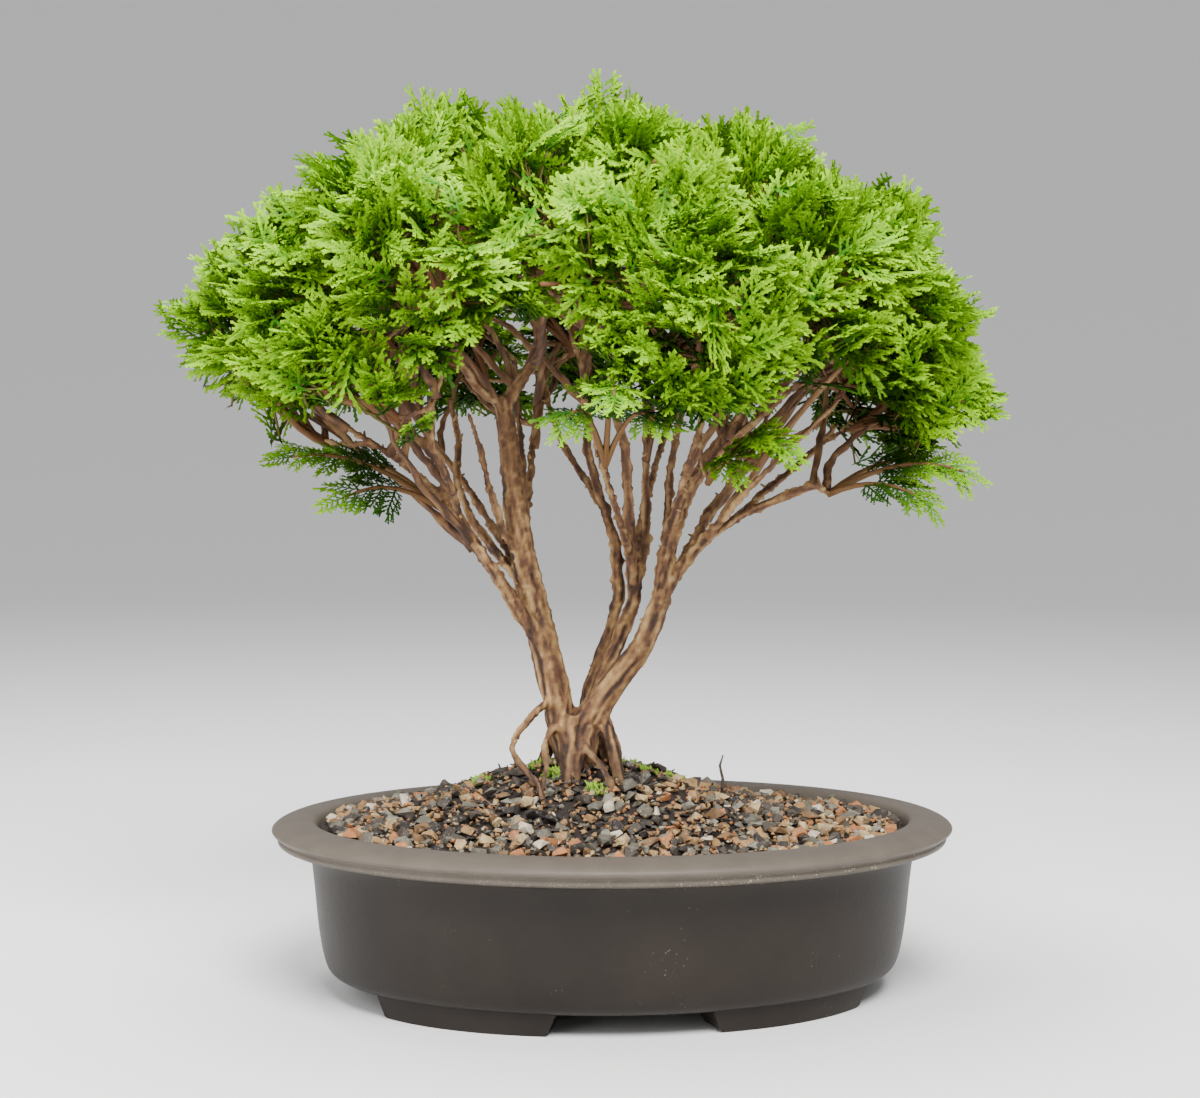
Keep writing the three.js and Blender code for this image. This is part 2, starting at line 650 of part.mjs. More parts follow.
// A flat spray: a bare stalk, then a rib with pointed leaflets on either side, and one at its end.
// Its two faces are alike, and it is arched along the rib and cupped across it.
function sprayGeometry({ length, width, arch, cup }) {
  const pitch = (length * (1 - BARE_SHARE)) / (SPRAY_LEAFLETS + END_LEAFLET);
  const corners = [];
  const faces = [];
  const corner = (x, y) => corners.push([x, y]) - 1;
  let below = corner(0, -RIB_HALF);
  let above = corner(0, RIB_HALF);
  const outline = { below: [below], above: [above] };
  for (let i = 0; i <= SPRAY_LEAFLETS; i++) {
    const x = length * BARE_SHARE + pitch * i;
    const rib = RIB_HALF * (1 - (RIB_NARROWING * i) / SPRAY_LEAFLETS);
    const fullness = Math.sin(Math.PI * (FULLNESS_START + (FULLNESS_SPAN * (i - 0.5)) / SPRAY_LEAFLETS));
    const nextBelow = corner(x, -rib);
    const nextAbove = corner(x + pitch * LEAFLET_STAGGER, rib);
    faces.push([below, nextBelow, nextAbove], [below, nextAbove, above]);
    for (const [side, first, second, edge] of [
      [-1, below, nextBelow, outline.below],
      [1, nextAbove, above, outline.above],
    ]) {
      if (i > 0) {
        const tip = corner(x + pitch * TIP_FORWARD[side < 0 ? 0 : 1], (side * width * fullness) / 2);
        faces.push([first, tip, second]);
        edge.push(tip);
      }
      edge.push(side < 0 ? nextBelow : nextAbove);
    }
    below = nextBelow;
    above = nextAbove;
  }
  const end = corner(length, 0);
  faces.push([below, end, above]);
  const rim = [...outline.below, end, ...outline.above.reverse()];
  const position = [];
  for (const height of [-BLADE_THICK / 2, BLADE_THICK / 2]) {
    for (const [x, y] of corners) {
      const along = x / length;
      const across = (2 * y) / width;
      position.push(x, y, height - length * arch * along * along - cup * across * across);
    }
  }
  const count = corners.length;
  const index = [];
  for (const [one, two, three] of faces) {
    index.push(one + count, two + count, three + count, one, three, two);
  }
  rim.forEach((here, i) => {
    const next = rim[(i + 1) % rim.length];
    index.push(here, next, next + count, here, next + count, here + count);
  });
  const blade = new THREE.BufferGeometry();
  blade.setAttribute("position", new THREE.Float32BufferAttribute(position, 3));
  return blade.setIndex(index);
}

// The dense middle of a tuft, that its sprays stand out of.
function coreGeometry(from, outward, level, length) {
  const upward = outward.clone().cross(level);
  const rings = CORE_RADII.length - 1;
  const column = new THREE.CylinderGeometry(1, 1, 1, CORE_SIDES, rings);
  return reshape(column, (vertex) => {
    const ring = Math.round((vertex.y + 0.5) * rings);
    const radius = CORE_RADII[ring] * (1 + CORE_LUMPS * Math.sin(3 * Math.atan2(vertex.x, vertex.z) + ring));
    const across = vertex.x * radius;
    const deep = -vertex.z * radius;
    vertex.copy(from).addScaledVector(outward, length * CORE_SHARES[ring]);
    vertex.addScaledVector(level, across).addScaledVector(upward, deep);
  });
}

// One tuft: a slim dense middle on its twig, with sprays round it that lean away from each other.
function makeTuft(tuft, planes, random) {
  const outward = fromCrown(tuft.direction).sub(CROWN_HEART).normalize();
  const stretch = fromCrown(tuft.direction).sub(CROWN_HEART).length();
  const start = tuft.start * stretch + TWIG_GAP;
  const length = (tuft.reach - tuft.start) * stretch;
  const level = new THREE.Vector3(-outward.y, outward.x, 0);
  if (level.length() < 0.2) level.set(1, 0, 0);
  level.normalize();
  const from = CROWN_HEART.clone().addScaledVector(outward, start);
  const pieces = [coreGeometry(from, outward, level, length)];
  const spin = between(random, 0, 2 * Math.PI);
  for (let i = 0; i < SPRAYS_PER_TUFT; i++) {
    const round = spin + (i * 2 * Math.PI) / SPRAYS_PER_TUFT;
    const across = level.clone().applyAxisAngle(outward, round);
    const along = outward.clone().applyAxisAngle(across, between(random, ...SPRAY_LEAN));
    const face = along.clone().cross(across);
    const rooted = FIRST_ROOT + ROOT_SPACING * i;
    const blade = sprayGeometry({
      length: length * (SPRAY_REACH - rooted),
      width: between(random, ...SPRAY_WIDTH),
      arch: between(random, ...SPRAY_ARCH),
      cup: between(random, -SPRAY_CUP, SPRAY_CUP),
    });
    const root = from.clone().addScaledVector(outward, length * rooted);
    blade.applyMatrix4(new THREE.Matrix4().makeBasis(along, across, face).setPosition(root));
    pieces.push(blade);
  }
  const solids = pieces.map((piece) => solidFrom(reshape(piece, (vertex) => bendInside(vertex, planes))));
  return named(tuft.name, geometryFrom(joined(solids)), leaf);
}

// The tuft whose share of the crown a point lies in.
function tuftOver(offset, tufts) {
  const nearness = (tuft) => tuft.direction.dot(offset);
  return tufts.reduce((best, tuft) => (nearness(tuft) > nearness(best) ? tuft : best));
}

// A branch's point, drawn in where it would pass into a tuft.
function underLeaves(point, tufts) {
  const offset = toCrown(new THREE.Vector3(...point));
  if (offset.length() < 1) return point;
  const tuft = tuftOver(offset, tufts);
  const depth = tuft.direction.dot(offset);
  const limit = tuft.start - WOOD_MARGIN;
  if (depth > limit) offset.multiplyScalar(limit / depth);
  return fromCrown(offset).toArray();
}

// A branch's points, all drawn in under the leaves, without those that would fold it back on itself.
function branchUnderLeaves(points, tufts) {
  const kept = [points[0]];
  for (const point of points.slice(1)) {
    const drawnIn = underLeaves(point, tufts);
    const before = kept[kept.length - 1];
    const stretch = Math.hypot(drawnIn[0] - before[0], drawnIn[1] - before[1], drawnIn[2] - before[2]);
    if (stretch > SHORTEST_STRETCH) kept.push(drawnIn);
  }
  return kept;
}

// A twig that starts inside the nearest branch and ends square to its tuft.
function twigTo(tuft, branches) {
  const outward = fromCrown(tuft.direction).sub(CROWN_HEART).normalize();
  const stretch = fromCrown(tuft.direction).sub(CROWN_HEART).length();
  const end = CROWN_HEART.clone().addScaledVector(outward, tuft.start * stretch);
  let best = null;
  for (const { path, steps } of branches) {
    for (let step = Math.ceil(steps * TWIG_LOWEST); step <= steps; step++) {
      const along = path.getTangentAt(step / steps);
      const from = path.getPointAt(step / steps).addScaledVector(along, -TWIG_SUNK);
      const way = end.clone().sub(from);
      const sideways = 1 - way.clone().normalize().dot(outward);
      const forks = step === steps ? 0 : TWIG_FORK_COST;
      const cost = way.length() * (1 + TWIG_SIDEWAYS_COST * sideways) + forks;
      if (!best || cost < best.cost) best = { cost, from, along, reach: way.length() };
    }
  }
  const out = best.from.clone().addScaledVector(best.along, best.reach * TWIG_BENDS[0]);
  const near = end.clone().addScaledVector(outward, -best.reach * TWIG_BENDS[1]);
  const curve = new THREE.CubicBezierCurve3(best.from, out, near, end);
  const points = curve.getPoints(4).map((point) => point.toArray());
  return { points, radii: TWIG_RADII, sides: 3, steps: 3 };
}

function makeWood(tufts) {
  const limbs = Object.values(LIMBS).map((limb) => ({
    ...limb,
    points: branchUnderLeaves(limb.points, tufts),
  }));
  const branches = limbs.map(({ points, steps }) => ({ path: smoothPath(points), steps }));
  const twigs = tufts.map((tuft) => twigTo(tuft, branches));
  const stems = [...limbs, ...Object.values(ROOTS), ...twigs];
  return named("wood", geometryFrom(joined(stems.map((stem) => solidFrom(stemGeometry(stem))))), bark);
}

const tufts = planTufts();
const growth = seededRandom(SEED + 7);
const bonsai = new THREE.Group();
bonsai.add(makePot());
bonsai.add(makeScreen("drain_screen_left", -1));
bonsai.add(makeScreen("drain_screen_right", 1));
bonsai.add(makeSoil());
bonsai.add(makeWood(tufts));
for (const tuft of tufts) bonsai.add(makeTuft(tuft, boundsOf(tuft, tufts), growth));

// The origin is the middle of the whole bonsai's footprint, on the surface that the feet stand on.
const extent = new THREE.Box3().setFromObject(bonsai);
const middle = extent.getCenter(new THREE.Vector3());
bonsai.position.set(-middle.x, -middle.y, -extent.min.z);

export default bonsai;
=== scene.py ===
"""A small cypress bonsai in an oval clay pot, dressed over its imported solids.

Lengths in the classes are in millimetres, in the pot's own frame: the origin is the middle of the pot's
footprint, +X runs along its long side and -Y is the front. Meshes are written in metres.
"""

from __future__ import annotations

import logging
import math
from dataclasses import dataclass, field
from enum import Enum
from itertools import product
from typing import Sequence

import bmesh
import bpy
import numpy as np
from mathutils import Matrix, Vector, noise

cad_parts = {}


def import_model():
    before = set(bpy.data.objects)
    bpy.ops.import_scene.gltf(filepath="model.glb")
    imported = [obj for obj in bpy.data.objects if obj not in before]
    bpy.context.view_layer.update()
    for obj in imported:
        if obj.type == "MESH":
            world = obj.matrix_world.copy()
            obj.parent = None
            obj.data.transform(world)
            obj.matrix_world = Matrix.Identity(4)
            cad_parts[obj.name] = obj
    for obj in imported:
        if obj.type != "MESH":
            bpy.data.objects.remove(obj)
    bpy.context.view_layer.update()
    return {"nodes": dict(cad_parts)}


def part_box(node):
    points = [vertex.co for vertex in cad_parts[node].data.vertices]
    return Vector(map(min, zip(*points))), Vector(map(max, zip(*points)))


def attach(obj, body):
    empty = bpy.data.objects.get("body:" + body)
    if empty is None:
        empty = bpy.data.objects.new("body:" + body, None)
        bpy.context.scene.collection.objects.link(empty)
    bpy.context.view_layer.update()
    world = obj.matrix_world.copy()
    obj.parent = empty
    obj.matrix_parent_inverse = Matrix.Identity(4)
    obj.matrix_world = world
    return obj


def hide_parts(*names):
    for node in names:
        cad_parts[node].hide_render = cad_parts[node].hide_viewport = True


LOG = logging.getLogger("bonsai")
MM = 0.001
GOLDEN_ANGLE = math.pi * (3 - math.sqrt(5))
UP = np.array([0.0, 0.0, 1.0])
BODY = "root"

Array = np.ndarray
Pair = tuple[float, float]
Triple = tuple[float, float, float]
Point = Triple
Colour = Triple
# Points and triangles
Shape = tuple[Array, Array]


# Shader graph

Operand = "Signal | float | Colour"


class Signal:
    """One output socket of a shader graph, with the usual operators."""

    def __init__(self, graph: Graph, socket: bpy.types.NodeSocket) -> None:
        """Keeps the socket and the graph that it belongs to."""
        self.graph = graph
        self.socket = socket

    def _math(self, operation: str, left: Operand, right: Operand) -> Signal:
        """Adds the Math node for one operation on two values."""
        return self.graph.node("ShaderNodeMath", {"operation": operation}, {0: left, 1: right})

    def __add__(self, other: Operand) -> Signal:
        """Adds another value."""
        return self._math("ADD", self, other)

    def __radd__(self, other: Operand) -> Signal:
        """Adds this to a number."""
        return self._math("ADD", other, self)

    def __sub__(self, other: Operand) -> Signal:
        """Takes another value away."""
        return self._math("SUBTRACT", self, other)

    def __rsub__(self, other: Operand) -> Signal:
        """Takes this away from a number."""
        return self._math("SUBTRACT", other, self)

    def __mul__(self, other: Operand) -> Signal:
        """Multiplies by another value."""
        return self._math("MULTIPLY", self, other)

    def __rmul__(self, other: Operand) -> Signal:
        """Multiplies a number by this."""
        return self._math("MULTIPLY", other, self)

    def limited(self) -> Signal:
        """Keeps the value between 0 and 1."""
        return self._math("MINIMUM", self._math("MAXIMUM", self, 0.0), 1.0)

    def between(self, low: float, high: float) -> Signal:
        """A smooth step from 0 at one number to 1 at the other."""
        sockets = {"Value": self, "From Min": low, "From Max": high}
        return self.graph.node("ShaderNodeMapRange", {"interpolation_type": "SMOOTHSTEP"}, sockets)


class Graph:
    """A material's shader graph."""

    def __init__(self, name: str) -> None:
        """Makes a material with nothing in its graph but the output.

        Args:
            name: The material's name.
        """
        self.material = bpy.data.materials.new(name)
        self.material.use_nodes = True
        self.tree = self.material.node_tree
        self.tree.nodes.clear()
        self.output = self.tree.nodes.new("ShaderNodeOutputMaterial")

    def node(
        self,
        kind: str,
        settings: dict[str, object] | None = None,
        sockets: dict[str | int, Operand] | None = None,
        out: str | int = 0,
    ) -> Signal:
        """Adds any node.

        Args:
            kind: The node's type.
            settings: Its own settings, set first. A ramp's go under "stops" and "steps".
            sockets: A value or a signal for each input, by name or number.
            out: The output to return, by name or number.

        Returns:
            The output.
        """
        made = self.tree.nodes.new(kind)
        for key, value in (settings or {}).items():
            if key == "stops":
                self._set_stops(made.color_ramp, value)
            elif key == "steps":
                made.color_ramp.interpolation = value
            else:
                setattr(made, key, value)
        for key, value in (sockets or {}).items():
            target = made.inputs[key]
            if isinstance(value, Signal):
                self.tree.links.new(value.socket, target)
            elif isinstance(value, tuple) and target.type == "RGBA":
                target.default_value = (*value, 1.0)
            else:
                target.default_value = value
        return Signal(self, made.outputs[out])

    @staticmethod
    def _set_stops(ramp: bpy.types.ColorRamp, stops: Sequence[tuple[float, Colour]]) -> None:
        """Sets a colour ramp's stops.

        Args:
            ramp: The ramp.
            stops: A place and a colour for each stop.
        """
        while len(ramp.elements) > 1:
            ramp.elements.remove(ramp.elements[-1])
        for number, (place, colour) in enumerate(stops):
            element = ramp.elements[0] if number == 0 else ramp.elements.new(place)
            element.position = place
            element.color = (*colour, 1.0)

    def attribute(self, name: str) -> Signal:
        """A number kept on the mesh's points."""
        return self.node("ShaderNodeAttribute", {"attribute_name": name}, out="Fac")

    def place(self) -> Signal:
        """The point's place in metres, in the object's own frame."""
        return self.node("ShaderNodeTexCoord", out="Object")

    def stretched(self, scale: Triple) -> Signal:
        """The point's place, scaled along each axis."""
        return self.node("ShaderNodeVectorMath", {"operation": "MULTIPLY"}, {0: self.place(), 1: scale})

    def step(self, axis: str, span: Pair) -> Signal:
        """A smooth step from 0 at one place on an axis to 1 at another, both in millimetres."""
        along = self.node("ShaderNodeSeparateXYZ", sockets={0: self.place()}, out=axis)
        return along.between(span[0] * MM, span[1] * MM)

    def noise(self, scale: float, detail: float, place: Signal | None = None) -> Signal:
        """Soft noise from 0 to 1, with its waves in a metre, its finer layers and where it is read."""
        sockets = {"Vector": place or self.place(), "Scale": scale, "Detail": detail, "Roughness": 0.6}
        return self.node("ShaderNodeTexNoise", sockets=sockets)

    def cells(self, scale: float) -> Signal:
        """The distance to the middle of a cell, in a pattern with so many cells in a metre."""
        sockets = {"Vector": self.place(), "Scale": scale}
        return self.node("ShaderNodeTexVoronoi", sockets=sockets, out="Distance")

    def mix(self, share: Operand, first: Operand, second: Operand) -> Signal:
        """A colour between two colours, with so large a share of the second."""
        settings = {"data_type": "RGBA", "clamp_factor": True}
        return self.node("ShaderNodeMix", settings, {0: share, 6: first, 7: second}, out=2)

    def ramp(self, value: Signal, stops: Sequence[tuple[float, Colour]], steps: str = "LINEAR") -> Signal:
        """A colour looked up on a ramp, which goes from stop to stop in the way that is named."""
        return self.node("ShaderNodeValToRGB", {"stops": stops, "steps": steps}, {0: value})

    def bump(self, height: Signal, distance: float, strength: float) -> Signal:
        """A bumpy normal from a relief from 0 to 1, its depth in millimetres and the share of it used."""
        sockets = {"Strength": strength, "Distance": distance * MM, "Height": height}
        return self.node("ShaderNodeBump", sockets=sockets)

    def finish(self, **sockets: Operand) -> bpy.types.Material:
        """Adds the surface shader and links it to the output.

        Args:
            **sockets: Its inputs by name, with _ for each space.

        Returns:
            The finished material.
        """
        named = {key.replace("_", " "): value for key, value in sockets.items()}
        shader = self.node("ShaderNodeBsdfPrincipled", sockets=named)
        self.tree.links.new(shader.socket, self.output.inputs["Surface"])
        return self.material


# Finishes


@dataclass(frozen=True)
class ClayFinish:
    """Unglazed dark clay with a satin sheen, paler on the lip, with pale dust under it at the right."""

    deep: Colour = (0.0125, 0.0092, 0.0070)
    pale: Colour = (0.020, 0.0150, 0.0115)
    lip: Colour = (0.125, 0.104, 0.083)
    speck: Colour = (0.22, 0.18, 0.13)
    dust: Colour = (0.42, 0.35, 0.25)
    lip_foot: Pair = (33.0, 34.8)
    dust_foot: Pair = (31.6, 33.6)
    dust_top: Pair = (34.8, 36.4)
    dust_side: Pair = (-10.0, 30.0)
    gloss: float = 0.2

    def material(self) -> bpy.types.Material:
        """Makes the clay's material.

        Returns:
            The material.
        """
        graph = Graph("clay")
        clouds = graph.noise(26.0, 4.0)
        grain = graph.noise(1700.0, 3.0)
        base = graph.mix(clouds.between(0.30, 0.72), self.deep, self.pale)
        lip = graph.step("Z", self.lip_foot) * (0.55 + 0.45 * graph.noise(130.0, 3.0))
        base = graph.mix(lip, base, self.lip)
        specks = 1 - graph.cells(900.0).between(0.10, 0.20)
        sparse = graph.noise(110.0, 2.0).between(0.60, 0.74)
        base = graph.mix(specks * sparse * 0.45, base, self.speck)
        under_lip = graph.step("Z", self.dust_foot) * (1 - graph.step("Z", self.dust_top))
        side = 0.25 + 0.75 * graph.step("X", self.dust_side)
        grains = 1 - graph.cells(1500.0).between(0.16, 0.30)
        dust = under_lip * side * grains * graph.noise(240.0, 4.0).between(0.42, 0.60)
        base = graph.mix(dust, base, self.dust)
        rough = 0.34 + 0.14 * clouds + 0.12 * grain + 0.35 * dust
        normal = graph.bump(0.6 * grain + 0.4 * graph.noise(420.0, 2.0), 0.16, 0.5)
        return graph.finish(Base_Color=base, Roughness=rough, Specular_IOR_Level=self.gloss, Normal=normal)


@dataclass(frozen=True)
class BarkFinish:
    """Shreddy bark: tan ridges, reddish brown to nearly black between them, partly painted shade in the
    gaps.
    """

    dark: Colour = (0.026, 0.012, 0.007)
    red: Colour = (0.115, 0.048, 0.020)
    tan: Colour = (0.245, 0.130, 0.047)
    pale: Colour = (0.48, 0.31, 0.132)
    reddened: Pair = (84.0, 128.0)
    # Heights in millimetres below which the wood turns darker towards the bottom.
    darker_below: Pair = (48.0, 62.0)

    def material(self) -> bpy.types.Material:
        """Makes the bark's material.

        Returns:
            The material.
        """
        graph = Graph("bark")
        streak = graph.attribute("streak")
        fine = graph.noise(1100.0, 4.0, graph.stretched((1.0, 1.0, 0.4)))
        patches = graph.noise(70.0, 3.0)
        tone = 0.46 * streak + 0.26 * fine + 0.16 * patches + 0.14 * graph.attribute("knob")
        base = graph.ramp(tone, [(0.26, self.dark), (0.40, self.red), (0.54, self.tan), (0.74, self.pale)])
        # Darker in the gaps between the ridges: partly the bark's own dark fissures, partly painted shade.
        gaps = 1 - (streak + 0.3 * fine).between(0.22, 0.52)
        base = graph.mix(gaps * 0.48, base, self.dark)
        base = graph.mix(graph.step("Z", self.reddened) * 0.38, base, self.red)
        # Darker towards the bottom of the wood, near the soil.
        base = graph.mix((1 - graph.step("Z", self.darker_below)) * 0.55, base, self.dark)
        normal = graph.bump(0.6 * fine + 0.4 * streak, 0.6, 0.9)
        return graph.finish(Base_Color=base, Roughness=0.68 + 0.2 * fine, Normal=normal)


@dataclass(frozen=True)
class LeafFinish:
    """Scale leaves: lime at the tips, green along the sprays and deep green painted shade inside the crown.
    """

    lime: Colour = (0.285, 0.565, 0.001)
    green: Colour = (0.034, 0.160, 0.001)
    deep: Colour = (0.012, 0.050, 0.004)
    silver: Colour = (0.14, 0.29, 0.07)
    twig: Colour = (0.16, 0.075, 0.035)
    roughness: float = 0.55
    gloss: float = 0.09

    def material(self) -> bpy.types.Material:
        """Makes the leaves' material.

        Returns:
            The material.
        """
        graph = Graph("leaf")
        hue = graph.attribute("hue")
        # Lime at the tips, partly the fresh growth's own colour and partly painted highlight; the darker
        # green at the bases is partly painted shade between branchlets.
        lively = (graph.attribute("tip") * (0.75 + 0.6 * hue)).limited()
        base = graph.mix(lively, self.green, self.lime)
        # Painted shade: deep green deep inside the crown and low under each tuft.
        inner = graph.attribute("inner").between(0.05, 0.85)
        base = graph.mix((inner * 0.95).limited(), base, self.deep)
        base = graph.mix(hue.between(0.86, 1.0) * 0.08, base, self.silver)
        base = graph.mix(0.45 * graph.noise(900.0, 2.0), base, self.deep)
        base = graph.mix(graph.attribute("woody"), base, self.twig)
        normal = graph.bump(graph.noise(1700.0, 1.0), 0.25, 0.5)
        return graph.finish(
            Base_Color=base, Roughness=self.roughness, Specular_IOR_Level=self.gloss, Normal=normal
        )


@dataclass(frozen=True)
class GritFinish:
    """Mixed stones over moist dark soil, told apart by each stone's own tone."""

    soil: Colour = (0.014, 0.008, 0.005)
    blotch: Colour = (0.06, 0.045, 0.035)
    fleck: Colour = (0.55, 0.48, 0.38)
    stones: tuple[tuple[float, Colour], ...] = (
        (0.00, (0.013, 0.009, 0.007)),
        (0.15, (0.046, 0.036, 0.026)),
        (0.27, (0.105, 0.096, 0.070)),
        (0.40, (0.200, 0.185, 0.140)),
        (0.52, (0.180, 0.092, 0.034)),
        (0.64, (0.330, 0.185, 0.070)),
        (0.80, (0.400, 0.150, 0.045)),
        (0.86, (0.460, 0.325, 0.160)),
        (0.95, (0.600, 0.520, 0.390)),
    )

    def material(self) -> bpy.types.Material:
        """Makes the grit's material.

        Returns:
            The material.
        """
        graph = Graph("grit")
        base = graph.ramp(graph.attribute("tone"), self.stones, "CONSTANT")
        blotches = graph.noise(700.0, 4.0)
        base = graph.mix(0.55 * blotches.between(0.35, 0.75), base, self.blotch)
        base = graph.mix(graph.noise(1500.0, 2.0).between(0.60, 0.78) * 0.5, base, self.fleck)
        base = graph.mix(1 - graph.attribute("stone"), base, self.soil)
        normal = graph.bump(graph.noise(1300.0, 4.0), 0.4, 0.6)
        return graph.finish(Base_Color=base, Roughness=0.62 + 0.25 * blotches, Normal=normal)


@dataclass(frozen=True)
class MossFinish:
    """Fresh moss, brighter at its tips."""

    dark: Colour = (0.045, 0.100, 0.012)
    bright: Colour = (0.280, 0.460, 0.020)
    roughness: float = 0.8

    def material(self) -> bpy.types.Material:
        """Makes the moss's material.

        Returns:
            The material.
        """
        graph = Graph("moss")
        base = graph.mix(graph.attribute("tip"), self.dark, self.bright)
        return graph.finish(Base_Color=base, Roughness=self.roughness)


@dataclass(frozen=True)
class PlasticFinish:
    """Matt black plastic with fine scuffs."""

    colour: Colour = (0.018, 0.019, 0.019)
    scuff: Colour = (0.05, 0.05, 0.05)

    def material(self) -> bpy.types.Material:
        """Makes the plastic's material.

        Returns:
            The material.
        """
        graph = Graph("screen_plastic")
        scuffs = graph.noise(900.0, 3.0)
        base = graph.mix(scuffs * 0.4, self.colour, self.scuff)
        normal = graph.bump(scuffs, 0.1, 0.4)
        return graph.finish(Base_Color=base, Roughness=0.5 + 0.2 * scuffs, Normal=normal)


@dataclass(frozen=True)
class FloorFinish:
    """A plain pale floor."""

    colour: Colour = (0.80, 0.80, 0.79)
    roughness: float = 0.9

    def material(self) -> bpy.types.Material:
        """The floor's material."""
        return Graph("floor").finish(Base_Color=self.colour, Roughness=self.roughness)


# Meshes


def linked(name: str, data: bpy.types.ID) -> bpy.types.Object:
    """Puts a new object into the scene.

    Args:
        name: Its name.
        data: Its mesh, light or camera.

    Returns:
        The object.
    """
    made = bpy.data.objects.new(name, data)
    bpy.context.scene.collection.objects.link(made)
    return made


def point_rows(mesh: bpy.types.Mesh, what: str) -> Array:
    """Reads the places or the normals of a mesh's points.

    Args:
        mesh: The mesh.
        what: "co" for the places in metres, or "normal".

    Returns:
        One row for each point.
    """
    flat = np.empty(len(mesh.vertices) * 3)
    mesh.vertices.foreach_get(what, flat)
    return flat.reshape(-1, 3)


def keep_numbers(mesh: bpy.types.Mesh, name: str, values: Array) -> None:
    """Keeps a number for each of a mesh's points."""
    layer = mesh.attributes.new(name, "FLOAT", "POINT")
    layer.data.foreach_set("value", values.astype(np.float32))


def shade(mesh: bpy.types.Mesh, smooth: bool = True) -> None:
    """Shades every face of a mesh smooth, or every face flat."""
    mesh.polygons.foreach_set("use_smooth", np.full(len(mesh.polygons), smooth))


@dataclass(frozen=True)
class Place:
    """Where the pot's frame lies in the row's frame, in metres."""

    shift: Vector

    @classmethod
    def of_pot(cls) -> Place:
        """Finds the middle of the pot's footprint."""
        low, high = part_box("pot")
        return cls(Vector(((low.x + high.x) / 2, (low.y + high.y) / 2, low.z)))

    def metres(self, points: Array) -> Array:
        """Carries points from the pot's frame in millimetres into the row's frame."""
        return points * MM + np.array(self.shift)

    def millimetres(self, points: Array) -> Array:
        """Carries points from the row's frame into the pot's frame in millimetres."""
        return (points - np.array(self.shift)) / MM

    def vector(self, point: Point) -> Vector:
        """Carries one point from the pot's frame into the row's frame."""
        return Vector(point) * MM + self.shift


@dataclass
class MeshParts:
    """Points, triangles and numbers on the points, gathered into one mesh."""

    points: list[Array] = field(default_factory=list)
    triangles: list[Array] = field(default_factory=list)
    numbers: dict[str, list[Array]] = field(default_factory=dict)
    count: int = 0

    def add(self, points: Array, triangles: Array, **numbers: Array | float) -> None:
        """Adds one shape.

        Args:
            points: Its points, in millimetres in the pot's frame.
            triangles: Its triangles, as rows of point numbers.
            **numbers: A number for each point, or one for them all.
        """
        self.points.append(points)
        self.triangles.append(triangles + self.count)
        for name, values in numbers.items():
            spread = np.broadcast_to(np.asarray(values, float), (len(points),))
            self.numbers.setdefault(name, []).append(spread)
        self.count += len(points)

    def piece(
        self, name: str, place: Place, material: bpy.types.Material, smooth: bool = True
    ) -> bpy.types.Object:
        """Makes the mesh object.

        Args:
            name: The piece's name.
            place: Where the pot's frame lies.
            material: The piece's material.
            smooth: Whether its faces are shaded smooth.

        Returns:
            The new object.
        """
        points = place.metres(np.concatenate(self.points))
        triangles = np.concatenate(self.triangles).astype(np.int32)
        mesh = bpy.data.meshes.new(name)
        mesh.vertices.add(len(points))
        mesh.vertices.foreach_set("co", points.astype(np.float32).ravel())
        mesh.loops.add(triangles.size)
        mesh.loops.foreach_set("vertex_index", triangles.ravel())
        mesh.polygons.add(len(triangles))
        mesh.polygons.foreach_set("loop_start", np.arange(0, triangles.size, 3, dtype=np.int32))
        shade(mesh, smooth)
        for key, values in self.numbers.items():
            keep_numbers(mesh, key, np.concatenate(values))
        mesh.update(calc_edges=True)
        mesh.validate()
        mesh.materials.append(material)
        return linked(name, mesh)


def unit(vectors: Array) -> Array:
    """Vectors at length 1, along the last axis."""
    return vectors / np.maximum(np.linalg.norm(vectors, axis=-1, keepdims=True), 1e-9)


def turns(count: int) -> Array:
    """Angles evenly spaced all round."""
    return np.arange(count) * 2 * math.pi / count


def oval(half_length: float, half_depth: float, height: float, count: int) -> Array:
    """Points round a level oval."""
    angles = turns(count)
    return np.stack([half_length * np.cos(angles), half_depth * np.sin(angles), np.full(count, height)], 1)


def curve(start: Array, bend: Array, end: Array, count: int) -> Array:
    """So many points on a path from one point to another, bent towards a third."""
    share = np.linspace(0, 1, count)[:, None]
    return start * (1 - share) ** 2 + 2 * bend * share * (1 - share) + end * share**2


def fan(low: int, sides: int, tip: int) -> Array:
    """Triangles from each side of a ring, whose first point is given, to one point."""
    here = np.arange(sides)
    return np.stack([low + here, low + (here + 1) % sides, np.full(sides, tip)], 1)


def bands(count: int, sides: int) -> Array:
    """Triangles between rings that follow one another.

    Args:
        count: How many rings.
        sides: How many points each has.

    Returns:
        The triangles.
    """
    here = np.arange(sides)
    after = (here + 1) % sides
    faces = []
    for low in range(0, (count - 1) * sides, sides):
        high = low + sides
        faces.append(np.stack([low + here, low + after, high + after], 1))
        faces.append(np.stack([low + here, high + after, high + here], 1))
    return np.concatenate(faces)


def skin(rings: Array, first: Array, last: Array) -> Shape:
    """A closed skin over rings of points, drawn together to one point at each end.

    Args:
        rings: The points of each ring, ring by ring.
        first: The point before the first ring.
        last: The point after the last ring.

    Returns:
        Its points and triangles.
    """
    count, sides = rings.shape[:2]
    total = count * sides
    points = np.concatenate([rings.reshape(-1, 3), [first, last]])
    start = fan(0, sides, total)[:, [1, 0, 2]]
    end = fan(total - sides, sides, total + 1)
    return points, np.concatenate([start, bands(count, sides), end])


